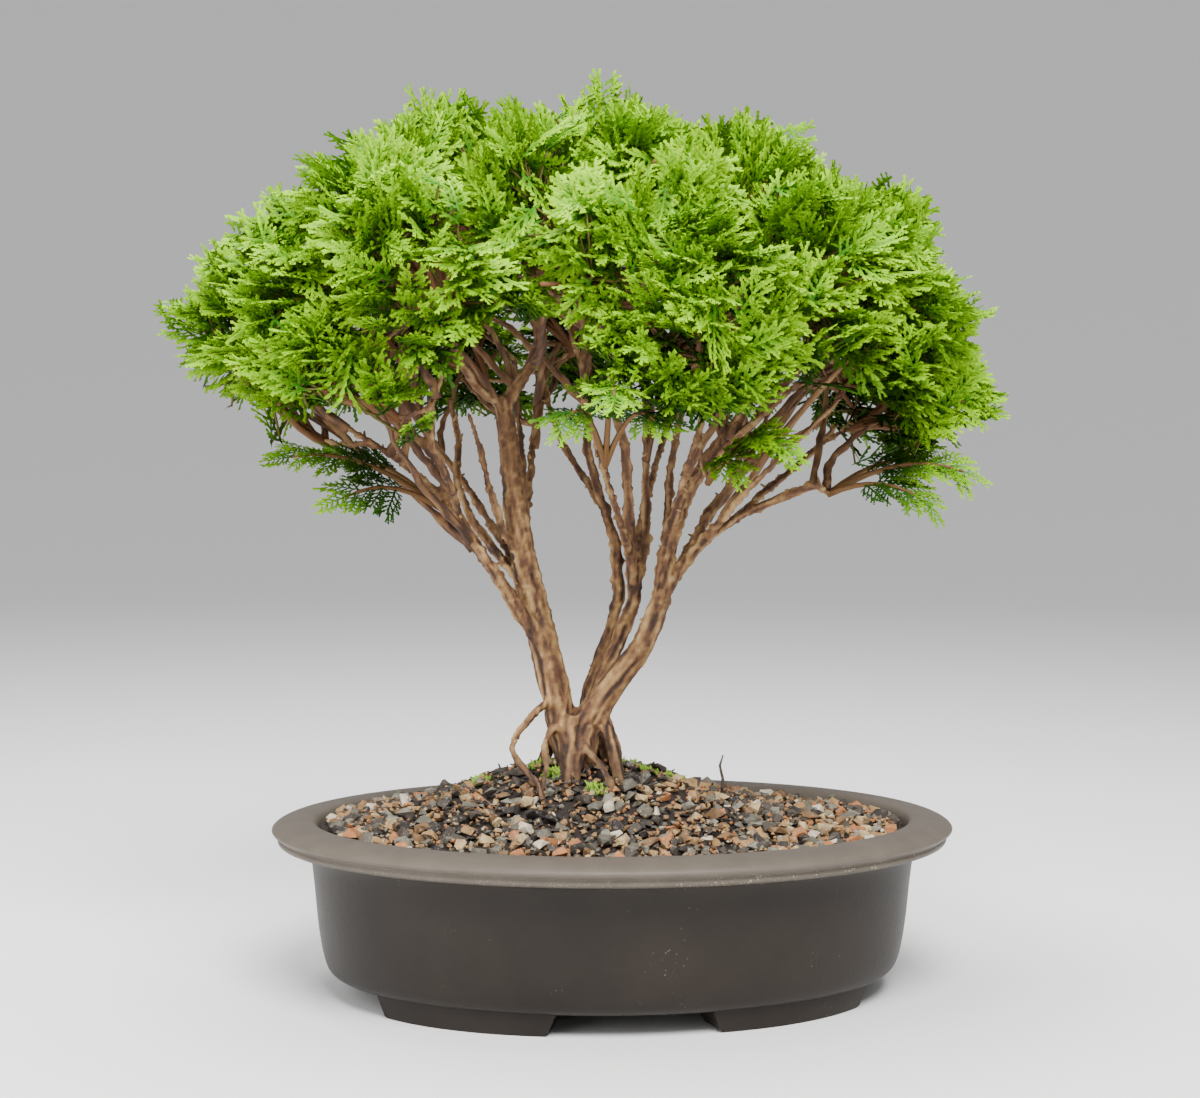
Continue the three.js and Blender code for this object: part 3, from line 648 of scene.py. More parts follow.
def tube(points: Array, radii: Sequence[float], sides: int) -> Shape:
    """A closed tapered tube along a path.

    Args:
        points: The path's points.
        radii: A radius for each.
        sides: How many sides the tube has.

    Returns:
        Its points and triangles.
    """
    along = unit(np.gradient(points, axis=0))
    helper = np.array([0.31, 0.87, 0.38]) if abs(along[0][1]) < 0.8 else np.array([0.9, 0.1, 0.42])
    across = unit(np.cross(along, helper))
    upward = np.cross(along, across)
    cosines, sines = np.cos(turns(sides))[None, :, None], np.sin(turns(sides))[None, :, None]
    ring = cosines * across[:, None] + sines * upward[:, None]
    return skin(points[:, None] + ring * np.asarray(radii)[:, None, None], points[0], points[-1])


def bake_modifiers(piece: bpy.types.Object) -> None:
    """Replaces a piece's mesh with what its modifiers make of it.

    Args:
        piece: The piece.
    """
    bpy.context.view_layer.update()
    seen = piece.evaluated_get(bpy.context.evaluated_depsgraph_get())
    made = bpy.data.meshes.new_from_object(seen)
    piece.modifiers.clear()
    old = piece.data
    piece.data = made
    bpy.data.meshes.remove(old)


def dress(piece: bpy.types.Object, slot: str, *nodes: str) -> None:
    """Fixes a piece to the body and hides the nodes that it stands for.

    Args:
        piece: The piece.
        slot: Not used.
        *nodes: The nodes that it replaces.
    """
    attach(piece, BODY)
    if nodes:
        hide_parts(*nodes)
    LOG.info("%s: %d triangles", piece.name, len(piece.data.polygons))


@dataclass
class Seeded:
    """Something that is placed by a seeded rule, with its own stream of random numbers."""

    place: Place
    seed: int

    def __post_init__(self) -> None:
        """Starts the stream."""
        self.random = np.random.default_rng(self.seed)

    def turn(self) -> float:
        """A random angle all round."""
        return self.random.uniform(0, 2 * math.pi)


# Sprays


class Detail(Enum):
    """How finely a spray is drawn, as the length of a scale in millimetres: plainer inside the crown."""

    FULL = 0.92
    PLAIN = 1.35


@dataclass(frozen=True)
class SprayForm:
    """One flat fern-like spray of scale leaves, drawn along +X with its face along +Z."""

    points: Array
    triangles: Array
    tip: Array
    length: float


@dataclass(frozen=True)
class Branchlet:
    """One branchlet's line in the plane of its spray.

    The girth is a share of the full width, and the rise is how far above the plane its tip lies.
    """

    start: Array
    heading: float
    length: float
    girth: float
    rise: float

    def at(self, share: float) -> Array:
        """The point at a share of its straight line."""
        return self.start + np.array([math.cos(self.heading), math.sin(self.heading)]) * self.length * share


@dataclass
class SprayMaker:
    """Draws sprays: a main branchlet with alternate side branchlets, all with rows of small blunt scales."""

    seed: int = 71
    length: float = 10.0
    scale_reach: float = 0.50
    scale_ahead: Pair = (1.35, 1.05)
    scale_lively: float = 1.2
    taper: float = 0.15
    uneven: Pair = (0.82, 1.18)
    bend: float = 0.35
    last_step: float = 0.7
    ridge: float = 0.36
    side_angles: Pair = (0.95, 0.55)
    side_count: int = 10
    girths: Triple = (0.95, 0.92, 0.82)
    lifts: Pair = (-0.7, 0.9)
    forks: tuple[Pair, ...] = ((0.36, 0.72), (0.6, -0.66))
    least_forked: float = 2.9

    def __post_init__(self) -> None:
        """Starts the stream of random numbers."""
        self.random = np.random.default_rng(self.seed)

    def _add(self, parts: MeshParts, line: Branchlet, detail: Detail) -> None:
        """Adds one branchlet: pairs of pointed scales that overlap along a raised middle line.

        Args:
            parts: Where it goes.
            line: Its line.
            detail: How finely it is drawn.
        """
        steps = max(3, round(line.length / detail.value))
        stride = line.length / steps
        bend = self.random.uniform(-self.bend, self.bend)
        here, angle = np.array(line.start, float), line.heading
        points, scales, shares = [], [], []
        for step in range(steps + 2):
            share = min(1.0, step / steps)
            side = np.array([-math.sin(angle), math.cos(angle)])
            ahead = np.array([math.cos(angle), math.sin(angle)]) * stride
            lift = line.rise * share * share
            points.append((*here, lift + self.ridge * line.girth))
            shares.append(share)
            if step < steps:
                reach = self.scale_reach * line.girth * (1 - self.taper * share)
                reach = reach * self.random.uniform(*self.uneven, 2)
                left = here + ahead * self.scale_ahead[0] + side * reach[0]
                right = here + ahead * self.scale_ahead[1] - side * reach[1]
                scales.append(((*left, lift), (*right, lift), min(1.0, share + self.scale_lively / steps)))
            here = here + ahead * (1.0 if step < steps else self.last_step)
            angle += bend / steps
        faces = []
        for step, (left, right, share) in enumerate(scales):
            number = len(points)
            points += [left, right]
            shares += [share, share]
            faces += [(step, step + 2, number), (step, number + 1, step + 2)]
        parts.add(np.array(points), np.array(faces), tip=np.array(shares))

    def draw(self, detail: Detail) -> SprayForm:
        """Draws one spray, a little different each time.

        Args:
            detail: How finely it is drawn.

        Returns:
            The spray.
        """
        parts = MeshParts()
        length = self.length * self.random.uniform(0.9, 1.1)
        main, side_girth, fork_girth = self.girths
        self._add(parts, Branchlet(np.zeros(2), 0.0, length, main, 0.0), detail)
        side = 1 if self.random.random() < 0.5 else -1
        full = detail is Detail.FULL
        count = self.side_count if full else self.side_count - 2
        wide, narrow = self.side_angles
        for number in range(count):
            share = 0.10 + 0.80 * number / (count - 1)
            reach = length * (0.20 + 0.24 * math.sin(math.pi * min(1.0, 0.15 + 0.62 * share)))
            reach *= self.random.uniform(0.85, 1.2)
            heading = side * (wide + (narrow - wide) * share) * self.random.uniform(0.88, 1.12)
            lift = self.random.uniform(*self.lifts)
            line = Branchlet(np.array([length * share, 0.0]), heading, reach, side_girth, lift)
            self._add(parts, line, detail)
            if reach > self.least_forked and full:
                for along, twist in self.forks:
                    angle = heading + side * twist
                    fork = Branchlet(line.at(along), angle, reach * 0.44, fork_girth, lift * 0.6)
                    self._add(parts, fork, detail)
            side = -side
        points = np.concatenate(parts.points)
        tip = np.concatenate(parts.numbers["tip"])
        # Lime towards the tips, partly fresh growth and partly painted highlight; darker bases, partly
        # painted shade between branchlets.
        outward = np.clip(np.hypot(points[:, 0], points[:, 1]) / length, 0, 1)
        lively = np.clip((0.75 * tip + 0.55 * outward - 0.35) / 0.85, 0, 1)
        return SprayForm(points, np.concatenate(parts.triangles), lively, length)


# Crown


class Habit(Enum):
    """How a tuft grows on its place in the crown."""

    CUSHION = "cushion"
    FROND = "frond"


@dataclass
class Tuft:
    """One foliage node's share of the crown, read from the node's solid."""

    name: str
    direction: Array
    start: float
    reach: float
    habit: Habit
    core: Array


@dataclass
class Sprig:
    """A few sprays that grow from one point, all facing nearly the same way."""

    tuft: Tuft
    way: Array
    far: float
    root: Array
    face: Array


@dataclass(frozen=True)
class Layer:
    """One layer of sprays: their forms, its places over the whole sphere, and its depth from 0 to 1."""

    forms: list[SprayForm]
    places: int
    depth: float


@dataclass(frozen=True)
class Pose:
    """How one spray lies: where it starts, where it points, what lies across it, and its size."""

    root: Array
    along: Array
    across: Array
    size: float


def part_way(value: float, low: float, span: float) -> float:
    """How far a value has come over a span, from 0 to 1."""
    return min(1.0, max(0.0, (value - low) / span))


def nearest(ways: Array, way: Array) -> tuple[int, float]:
    """Finds the direction that is nearest to one.

    Args:
        ways: The directions.
        way: The one.

    Returns:
        Its number, and the angle between the two.
    """
    nearness = ways @ way
    best = int(np.argmax(nearness))
    return best, math.acos(min(1.0, float(nearness[best])))


@dataclass
class Crown(Seeded):
    """All the foliage: fine sprays over each foliage node's share of the crown."""

    seed: int = 4117
    finish: LeafFinish = field(default_factory=LeafFinish)
    parts: dict[str, MeshParts] = field(default_factory=dict)
    hubs: dict[str, Array] = field(default_factory=dict)
    # The crown's middle, and its depth as a share of its width
    heart: Point = (-4.5, 3.0, 100.0)
    depth: float = 0.78
    core_share: float = 0.34
    # The two layers of sprays
    full_forms: int = 16
    plain_forms: int = 8
    outer_places: int = 8900
    inner_places: int = 3600
    inner_depths: Pair = (6.0, 17.0)
    # The sprigs and where their sprays lie, with widths as angles in radians
    sprig_count: int = 520
    sprig_width: float = 0.10
    sprig_swell: float = 4.0
    sprig_depth: float = 8.5
    sprig_lengths: Pair = (13.0, 18.0)
    sprig_jitter: float = 0.06
    sprig_top: float = 0.6
    sprig_overlap: float = 1.4
    spray_jitter: float = 0.03
    spray_top: float = 0.5
    top_span: float = 0.35
    # How a tuft rounds off towards its edge and the crown's top
    least_depth: float = 9.0
    widest: float = 0.30
    swell: float = 15.0
    drawn_in: float = 0.8
    top_drawn_in: float = 1.0
    top_share: float = 0.58
    # The height of the underside, and how it rises and hangs at the left and the right
    underside: float = 85.0
    underside_rise: Pair = (0.59, 0.54)
    lower_behind: Pair = (7.0, 10.0)
    behind: float = 45.0
    # The parting in the front of the crown, in directions from the heart
    parting: float = -0.19
    parting_width: float = 0.055
    parting_depth: float = 17.0
    parting_heights: Pair = (0.36, 0.84)
    front: float = -0.2
    # How a spray lies, and the depths where its shade starts and over which it grows
    spray_sizes: Pair = (0.86, 1.2)
    arches: Pair = (-0.05, 0.24)
    cups: Pair = (-0.3, 1.2)
    lit: Pair = (5.5, 2.0)
    dimming: Pair = (18.0, 26.0)
    # Each tuft's own small branches
    hub_count: int = 10
    hub_share: Pair = (0.18, 0.5)
    hub_width: float = 0.15
    hub_bend: float = 0.45
    hub_clearance: float = 3.0
    foot_inside: float = 2.5
    # The lone tufts, each with its share of the node's length and its lift
    frond_turns: Triple = (-0.38, 0.0, 0.38)
    frond_sprays: int = 12
    frond_spray_sizes: Pair = (0.55, 0.78)
    frond_shapes: dict[str, Pair] = field(
        default_factory=lambda: {
            "spray_low_left": (0.92, 8.0),
            "spray_low_right": (0.95, 2.0),
            "spray_front_hanging": (1.04, 3.5),
            "spray_front_right": (0.66, 7.0),
        }
    )

    def to_crown(self, points: Array) -> Array:
        """Points seen from the heart, with the depth stretched so that the crown is round."""
        return (points - np.array(self.heart)) / np.array([1.0, self.depth, 1.0])

    def from_crown(self, offsets: Array) -> Array:
        """The other way round."""
        return offsets * np.array([1.0, self.depth, 1.0]) + np.array(self.heart)

    def build(self, nodes: dict[str, bpy.types.Object]) -> list[Tuft]:
        """Grows the sprays and dresses them.

        Args:
            nodes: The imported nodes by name.

        Returns:
            The tufts.
        """
        tufts = self._tufts(nodes)
        maker = SprayMaker()
        full = [maker.draw(Detail.FULL) for _ in range(self.full_forms)]
        plain = [maker.draw(Detail.PLAIN) for _ in range(self.plain_forms)]
        self.parts = {tuft.name: MeshParts() for tuft in tufts}
        cushions = [tuft for tuft in tufts if tuft.habit is Habit.CUSHION]
        self.hubs = {tuft.name: self._hubs(tuft) for tuft in cushions}
        sprigs = self._sprigs(cushions)
        self._grow(sprigs, Layer(full, self.outer_places, 0.0))
        self._grow(sprigs, Layer(plain, self.inner_places, 1.0))
        for tuft in tufts:
            if tuft.habit is Habit.FROND:
                self._fronds(tuft, full)
        material = self.finish.material()
        for tuft in tufts:
            piece = self.parts[tuft.name].piece(tuft.name + "_leaves", self.place, material)
            dress(piece, "leaf", tuft.name)
        return tufts

    def _tufts(self, nodes: dict[str, bpy.types.Object]) -> list[Tuft]:
        """Reads each foliage node's direction, start and reach.

        Args:
            nodes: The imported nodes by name.

        Returns:
            The tufts.
        """
        found = []
        for name, node in sorted(nodes.items()):
            if not name.startswith(("tuft_", "spray_")):
                continue
            offsets = self.to_crown(self.place.millimetres(point_rows(node.data, "co")))
            far = np.linalg.norm(offsets, axis=1)
            direction = unit(offsets.mean(0))
            start, reach = float(far.min()), float(far.max())
            core = self.from_crown(direction * (start + self.core_share * (reach - start)))
            habit = Habit.FROND if name.startswith("spray_") else Habit.CUSHION
            found.append(Tuft(name, direction, start, reach, habit, core))
        return found

    def on_line(self, tuft: Tuft, far: float) -> Array:
        """The point on a tuft's line from the heart that lies so far out."""
        return self.from_crown(tuft.direction * far)

    def _stem(self, tuft: Tuft, path: Array, girths: Pair, sides: int, **looks: float) -> None:
        """Adds a woody stem to a tuft, tapered from its first girth to its last."""
        radii = np.linspace(*girths, len(path))
        self.parts[tuft.name].add(*tube(path, radii, sides), **looks)

    def _hubs(self, tuft: Tuft) -> Array:
        """Grows a tuft's own small branches, from its twig to a few hubs.

        Args:
            tuft: The tuft.

        Returns:
            The hubs.
        """
        foot = self.on_line(tuft, tuft.start - self.foot_inside)
        level = unit(np.cross(tuft.direction, [0.21, 0.1, 0.97]))
        upward = np.cross(tuft.direction, level)
        hubs = []
        for number in range(self.hub_count):
            angle = number * GOLDEN_ANGLE + self.random.uniform(0, 1)
            wide = self.hub_width * math.sqrt((number + 0.5) / self.hub_count) + 0.02
            way = unit(tuft.direction + wide * (math.cos(angle) * level + math.sin(angle) * upward))
            far = tuft.start + (tuft.reach - tuft.start) * self.random.uniform(*self.hub_share)
            hub = self.from_crown(way * far)
            hub[2] += max(0.0, self._level(hub) + self.hub_clearance - hub[2])
            bend = foot + self.random.normal(0, 0.9, 3) + self.hub_bend * (self.on_line(tuft, far) - foot)
            path = curve(foot, bend, hub, 5)
            # inner: a fixed share of the leaves' painted shade.
            self._stem(tuft, path, (0.95, 0.5), 5, tip=0.0, inner=0.6, hue=0.3, woody=1.0)
            hubs.append(hub)
        return np.array(hubs)

    def _way(self, number: int, count: int, turn: float, jitter: float) -> Array:
        """One of many directions spread evenly over the sphere, a little off its place.

        Args:
            number: Which one.
            count: How many there are.
            turn: How far they are all turned about the vertical.
            jitter: How far it lies off its place.

        Returns:
            The direction.
        """
        height = 1 - 2 * (number + 0.5) / count
        level = math.sqrt(1 - height * height)
        angle = number * GOLDEN_ANGLE + turn
        way = np.array([level * math.cos(angle), level * math.sin(angle), height])
        return unit(way + self.random.normal(0, jitter, 3))

    def _level(self, point: Array) -> float:
        """How high the crown's underside lies at a point: it rises outwards and hangs lower behind.

        Args:
            point: The point.

        Returns:
            The height.
        """
        right = int(point[0] > 0)
        wide = math.hypot(point[0], point[1] / self.depth)
        level = self.underside + self.underside_rise[right] * wide
        return level - self.lower_behind[right] * part_way(point[1], 0.0, self.behind)

    def _sprigs(self, tufts: list[Tuft]) -> list[Sprig]:
        """Plans the sprigs over the whole crown.

        Args:
            tufts: The tufts.

        Returns:
            The sprigs.
        """
        ways = np.array([tuft.direction for tuft in tufts])
        sprigs = []
        for number in range(self.sprig_count):
            way = self._way(number, self.sprig_count, 0.0, self.sprig_jitter)
            best, off = nearest(ways, way)
            if off > self.widest:
                continue
            tuft = tufts[best]
            top = part_way(way[2], self.sprig_top, self.top_span)
            far = tuft.reach - self.drawn_in - self.top_drawn_in * top
            far -= self.sprig_depth * self.random.random() ** 1.4
            tip = self.from_crown(way * (far - self.swell * (off / self.widest) ** 2))
            outward = unit(tip - np.array(self.heart))
            heading = 0.5 * outward + 0.45 * unit(tip - tuft.core) + self.random.normal(0, 0.17, 3)
            heading[2] = heading[2] * (0.62 + 0.38 * top) + 0.10 * (1 - top)
            root = tip - unit(heading) * self.random.uniform(*self.sprig_lengths)
            tilt = self.random.uniform(-0.35, 0.5)
            shelf = UP + outward * tilt + self.random.normal(0, 0.32, 3)
            upright = self.random.normal(0, 1, 3) * np.array([1.0, 1.0, 0.3])
            sprigs.append(Sprig(tuft, way, far, root, unit((1 - top) * shelf + 1.1 * top * upright)))
        return sprigs

    def _grow(self, sprigs: list[Sprig], layer: Layer) -> None:
        """Grows one layer of sprays over the whole crown.

        Args:
            sprigs: The sprigs.
            layer: The layer.
        """
        ways = np.array([sprig.way for sprig in sprigs])
        for number in range(layer.places):
            way = self._way(number, layer.places, layer.depth, self.spray_jitter)
            best, off = nearest(ways, way)
            sprig = sprigs[best]
            aside = math.acos(min(1.0, float(way @ sprig.tuft.direction))) / self.widest
            if way[2] < 0 or off > self.sprig_overlap * self.sprig_width or aside > 1:
                continue
            top = part_way(way[2], self.spray_top, self.top_span)
            if self.random.random() < top * (1 - self.top_share):
                continue
            sunk = self.sprig_swell * (off / self.sprig_width) ** 2 + self.swell * aside**2
            sunk += layer.depth * self.random.uniform(*self.inner_depths)
            if way[1] < self.front and self.parting_heights[0] < way[2] < self.parting_heights[1]:
                parted = math.exp(-(((way[0] - self.parting) / self.parting_width) ** 2))
                if self.random.random() < parted * layer.depth:
                    continue
                sunk += self.parting_depth * parted
            far = sprig.far - sunk + 0.8 - abs(self.random.normal(0, 1.9))
            far = max(far, sprig.tuft.start + self.least_depth + self.random.uniform(0, 5))
            tip = self.from_crown(way * far)
            if tip[2] > self._level(tip):
                # How far out the leaves end here, from which the painted shade is measured.
                shown = 0.35 * sprig.tuft.reach + 0.65 * (far + 6 * layer.depth)
                self._spray(sprig, tip, shown, layer.forms)

    def _spray(self, sprig: Sprig, tip: Array, shown: float, forms: list[SprayForm]) -> None:
        """Grows one spray of a cushion, with its twiglet.

        Args:
            sprig: The sprig that it belongs to.
            tip: Where its tip lies.
            shown: How far from the heart the leaves around it end.
            forms: The sprays to choose from.
        """
        form = forms[int(self.random.integers(len(forms)))]
        size = self.random.uniform(*self.spray_sizes)
        along = unit(unit(tip - sprig.root) + self.random.normal(0, 0.2, 3))
        face = unit(sprig.face + self.random.normal(0, 0.42, 3))
        along = unit(along - 0.75 * face * np.dot(along, face))
        root = tip - along * form.length * size
        self._lay(form, Pose(root, along, unit(np.cross(face, along)), size), sprig.tuft, shown)
        hubs = self.hubs[sprig.tuft.name]
        hub = hubs[int(np.argmin(np.linalg.norm(hubs - root, axis=1)))]
        path = curve(hub, 0.5 * (hub + root) - along * 1.5, root + along * 1.2, 3)
        # inner: a fixed share of the leaves' painted shade.
        self._stem(sprig.tuft, path, (0.42, 0.28), 3, tip=0.1, inner=0.5, hue=0.4, woody=0.55)

    def _lay(self, form: SprayForm, pose: Pose, tuft: Tuft, shown: float) -> None:
        """Lays one spray down, a little arched and cupped, with painted shade deep in the crown and under
        its tuft.

        Args:
            form: The spray.
            pose: How it lies.
            tuft: The tuft that it belongs to.
            shown: How far from the heart the leaves around it end, which sets its painted shade.
        """
        local = form.points * pose.size
        share = local[:, 0] / form.length
        arch = self.random.uniform(*self.arches)
        cup = self.random.uniform(*self.cups)
        height = local[:, 2] - arch * form.length * share**2 - cup * (local[:, 1] / 5.0) ** 2
        face = np.cross(pose.along, pose.across)
        points = pose.root + local[:, :1] * pose.along + local[:, 1:2] * pose.across + height[:, None] * face
        # Painted shade: darker the deeper the points lie under the leaves around them, and the lower they
        # lie under the tuft's middle.
        reach = np.linalg.norm(self.to_crown(points), axis=1)
        deep = (shown - self.lit[0] - reach) / self.dimming[0]
        below = (tuft.core[2] - self.lit[1] - points[:, 2]) / self.dimming[1]
        inner = np.clip(np.maximum(deep, 0) + 0.5 * np.maximum(below, 0), 0, 1)
        hue = self.random.uniform(0, 1)
        self.parts[tuft.name].add(points, form.triangles, tip=form.tip, inner=inner, hue=hue, woody=0.0)

    def _fronds(self, tuft: Tuft, forms: list[SprayForm]) -> None:
        """Grows a lone tuft: a few drooping fronds, each with sprays on both sides of a thin stem.

        Args:
            tuft: The tuft.
            forms: The sprays to choose from.
        """
        length_share, lift = self.frond_shapes[tuft.name]
        foot = self.on_line(tuft, tuft.start - self.foot_inside)
        end = self.on_line(tuft, tuft.reach - 2.0) + UP * lift
        end = foot + (end - foot) * length_share
        ahead = unit(end - foot)
        side = unit(np.cross(UP, ahead))
        side = unit(side + UP * 0.55 * side[1])
        rise = 0.10 + 0.34 * abs(ahead[1])
        full = float(np.linalg.norm(end - foot))
        # Where the leaves end, from which the fronds' painted shade is measured.
        shown = float(np.linalg.norm(self.to_crown(end))) + 4.0
        for turn in self.frond_turns:
            way = math.cos(turn) * ahead + math.sin(turn) * side
            length = full * (1.0 if turn == 0 else 0.74)
            tip = foot + way * length - UP * 0.10 * length
            bend = foot + way * length * 0.55 + UP * rise * length
            stem = curve(foot, bend, tip, 8)
            # inner: a fixed share of the leaves' painted shade.
            self._stem(tuft, stem, (0.75, 0.3), 5, tip=0.1, inner=0.5, hue=0.3, woody=0.9)
            count = self.frond_sprays if turn == 0 else self.frond_sprays - 3
            path = curve(foot, bend, tip, 100)
            for number in range(count):
                step = int((0.38 + 0.60 * number / (count - 1)) * 99)
                heading = unit(path[step] - path[max(0, step - 6)])
                turned = 0.75 if number % 2 else -0.75
                angle = 0.0 if number == count - 1 else turned * self.random.uniform(0.8, 1.2)
                level = unit(side - heading * np.dot(side, heading))
                along = math.cos(angle) * heading + math.sin(angle) * level + self.random.normal(0, 0.1, 3)
                along = unit(along - UP * 0.12)
                upper = np.cross(heading, level)
                upper = upper if upper[2] > 0 else -upper
                across = unit(np.cross(upper + self.random.normal(0, 0.2, 3), along))
                size = self.random.uniform(*self.frond_spray_sizes)
                form = forms[int(self.random.integers(len(forms)))]
                self._lay(form, Pose(path[step], along, across, size), tuft, shown)


# Wood


def sampled(points: Array, scale: float) -> Array:
    """Soft noise from about -1 to 1 at each point, with so many waves in a millimetre."""
    return np.array([noise.noise(Vector(point)) for point in (points * scale).tolist()])


@dataclass
class Wood:
    """Roots, trunks and branches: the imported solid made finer, with lumps and shreddy bark."""

    place: Place
    finish: BarkFinish = field(default_factory=BarkFinish)
    voxel: float = 0.56
    smoothing: int = 3
    lumps: float = 0.35
    lump_waves: float = 0.28
    streaks: float = 0.275
    streak_waves: float = 0.95
    streak_steps: int = 4
    streak_stride: float = 0.75
    knobs: float = 0.95
    knob_waves: Pair = (0.62, 1.1)
    flaky_start: float = 62.0
    flaky_span: float = 30.0
    slim_end: float = 165.0
    slim_span: float = 60.0
    cell: float = 3.0
    shrink: float = 0.05
    twig_depth: float = 0.9

    def build(self, node: bpy.types.Object) -> Array:
        """Makes the finer wood.

        Args:
            node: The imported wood.

        Returns:
            Points just under its surface, in the pot's frame.
        """
        mesh = node.data.copy()
        mesh.materials.clear()
        piece = linked("bark_wood", mesh)
        remesh = piece.modifiers.new("finer", "REMESH")
        remesh.mode = "VOXEL"
        remesh.voxel_size = self.voxel * MM
        soften = piece.modifiers.new("softer", "SMOOTH")
        soften.iterations = self.smoothing
        soften.factor = 0.5
        bake_modifiers(piece)
        points = self._roughen(piece.data)
        shade(piece.data)
        piece.data.materials.append(self.finish.material())
        dress(piece, "bark", "wood")
        return points

    def _axes(self, spots: Array, normals: Array) -> Array:
        """The way along the branch at each point: the way in which the normals near it turn least.

        Args:
            spots: The points.
            normals: Their normals.

        Returns:
            A direction for each point.
        """
        cells, own = np.unique(np.floor(spots / self.cell).astype(int), axis=0, return_inverse=True)
        own = own.ravel()
        spread = np.zeros((len(cells), 3, 3))
        np.add.at(spread, own, normals[:, :, None] * normals[:, None, :])
        index = {tuple(cell): number for number, cell in enumerate(cells.tolist())}
        total = spread.copy()
        for (x, y, z), number in index.items():
            for dx, dy, dz in product((-1, 0, 1), repeat=3):
                other = index.get((x + dx, y + dy, z + dz))
                if other not in (None, number):
                    total[number] += spread[other]
        _, vectors = np.linalg.eigh(total)
        return vectors[own, :, 0]

    def _roughen(self, mesh: bpy.types.Mesh) -> Array:
        """Moves each point along its normal by lumps, lengthwise streaks and flaky knobs, less where slim.

        Args:
            mesh: The mesh.

        Returns:
            Points just under its surface, in the pot's frame.
        """
        places, normals = point_rows(mesh, "co"), point_rows(mesh, "normal")
        spots = self.place.millimetres(places)
        axes = self._axes(spots, normals)
        streak = np.zeros(len(spots))
        for step in range(-self.streak_steps, self.streak_steps + 1):
            streak += sampled(spots + axes * step * self.streak_stride, self.streak_waves)
        streak /= math.sqrt(2 * self.streak_steps + 1)
        knob = np.maximum(sampled(spots + 40.0, self.knob_waves[0]) - 0.08, 0)
        knob += 0.5 * np.maximum(sampled(spots + 90.0, self.knob_waves[1]) - 0.1, 0)
        flaky = np.clip((spots[:, 2] - self.flaky_start) / self.flaky_span, 0.12, 1.0)
        slim = np.clip((self.slim_end - spots[:, 2]) / self.slim_span, 0.45, 1.0)
        lump = self.lumps * sampled(spots, self.lump_waves)
        moves = slim * (lump + self.streaks * streak + self.knobs * flaky * knob)
        places += normals * (moves[:, None] - self.shrink) * MM
        mesh.vertices.foreach_set("co", places.ravel())
        mesh.update()
        keep_numbers(mesh, "streak", np.clip(0.5 + 0.75 * streak, 0, 1))
        keep_numbers(mesh, "knob", np.clip(flaky * knob * 3.0, 0, 1))
        return spots - normals * self.twig_depth


@dataclass
class Twigs(Seeded):
    """Thin side branches from the wood up to the tufts, and short dead stubs on the branches."""

    seed: int = 5120
    finish: BarkFinish = field(default_factory=BarkFinish)
    parts: MeshParts = field(default_factory=MeshParts)
    each: int = 2
    rings: int = 16
    sides: int = 7
    lengths: Pair = (18.0, 48.0)
    girths: Pair = (0.75, 1.1)
    end_girth: float = 0.5
    heights: Pair = (92.0, 160.0)
    into_tuft: float = 3.0
    least_rise: float = 0.55
    flat_cost: float = 200.0
    candidates: int = 700
    stubs: int = 260
    stub_lengths: Pair = (0.9, 2.2)
    stub_height: float = 58.0

    def build(self, wood: Array, tufts: list[Tuft], crown: Crown) -> None:
        """Grows the twigs.

        Args:
            wood: Points just under the wood's surface.
            tufts: The tufts.
            crown: The crown.
        """
        low, high = self.heights
        starts = wood[(wood[:, 2] > low) & (wood[:, 2] < high)]
        for tuft in tufts:
            if tuft.habit is Habit.CUSHION:
                foot = crown.on_line(tuft, tuft.start + self.into_tuft)
                for _ in range(self.each):
                    self._reach(starts, foot)
        for _ in range(self.stubs):
            self._stub(wood[int(self.random.integers(len(wood)))])
        piece = self.parts.piece("bark_twigs", self.place, self.finish.material())
        dress(piece, "bark")

    def _reach(self, starts: Array, foot: Array) -> None:
        """Grows a twig to a tuft from the best of some points on the wood, if it can rise there.

        Args:
            starts: The points where a twig may leave the wood.
            foot: The tuft's foot.
        """
        some = starts[self.random.integers(0, len(starts), self.candidates)]
        rise = foot - some
        far = np.linalg.norm(rise, axis=1)
        flat = np.maximum(0, self.least_rise - rise[:, 2] / far)
        cost = np.abs(far - self.random.uniform(*self.lengths)) + self.flat_cost * flat
        best = int(np.argmin(cost))
        if flat[best] == 0:
            end = foot + self.random.normal(0, 2.5, 3)
            self._twig(some[best], end, self.random.uniform(*self.girths))

    def _twig(self, start: Array, end: Array, girth: float) -> None:
        """Adds one crooked, knobbly twig.

        Args:
            start: Where it leaves the wood.
            end: Where it ends.
            girth: Its radius at the start.
        """
        bend = 0.5 * (start + end) + self.random.normal(0, 3.0, 3) + UP * 2.0
        wander = np.cumsum(self.random.normal(0, 0.28, (self.rings, 3)), axis=0)
        wander -= np.linspace(0, 1, self.rings)[:, None] * wander[-1]
        path = curve(start, bend, end, self.rings) + wander
        radii = np.linspace(girth, self.end_girth, self.rings) * self.random.uniform(0.82, 1.25, self.rings)
        points, faces = tube(path, radii, self.sides)
        points = points + self.random.normal(0, 0.07, points.shape)
        streak = np.clip(self.random.uniform(0.2, 0.6) + self.random.normal(0, 0.22, len(points)), 0, 1)
        self.parts.add(points, faces, streak=streak, knob=self.random.uniform(0, 0.8, len(points)))

    def _stub(self, start: Array) -> None:
        """Adds one short dead stub, unless it would stand on the roots.

        Args:
            start: Where it stands.
        """
        if start[2] < self.stub_height:
            return
        way = unit(self.random.normal(0, 1, 3) + UP * 0.8)
        path = np.array([start, start + way * self.random.uniform(*self.stub_lengths)])
        streak, knob = self.random.uniform(0.4, 1.0), self.random.uniform(0.3, 1)
        self.parts.add(*tube(path, [0.5, 0.2], 4), streak=streak, knob=knob)


# Pot


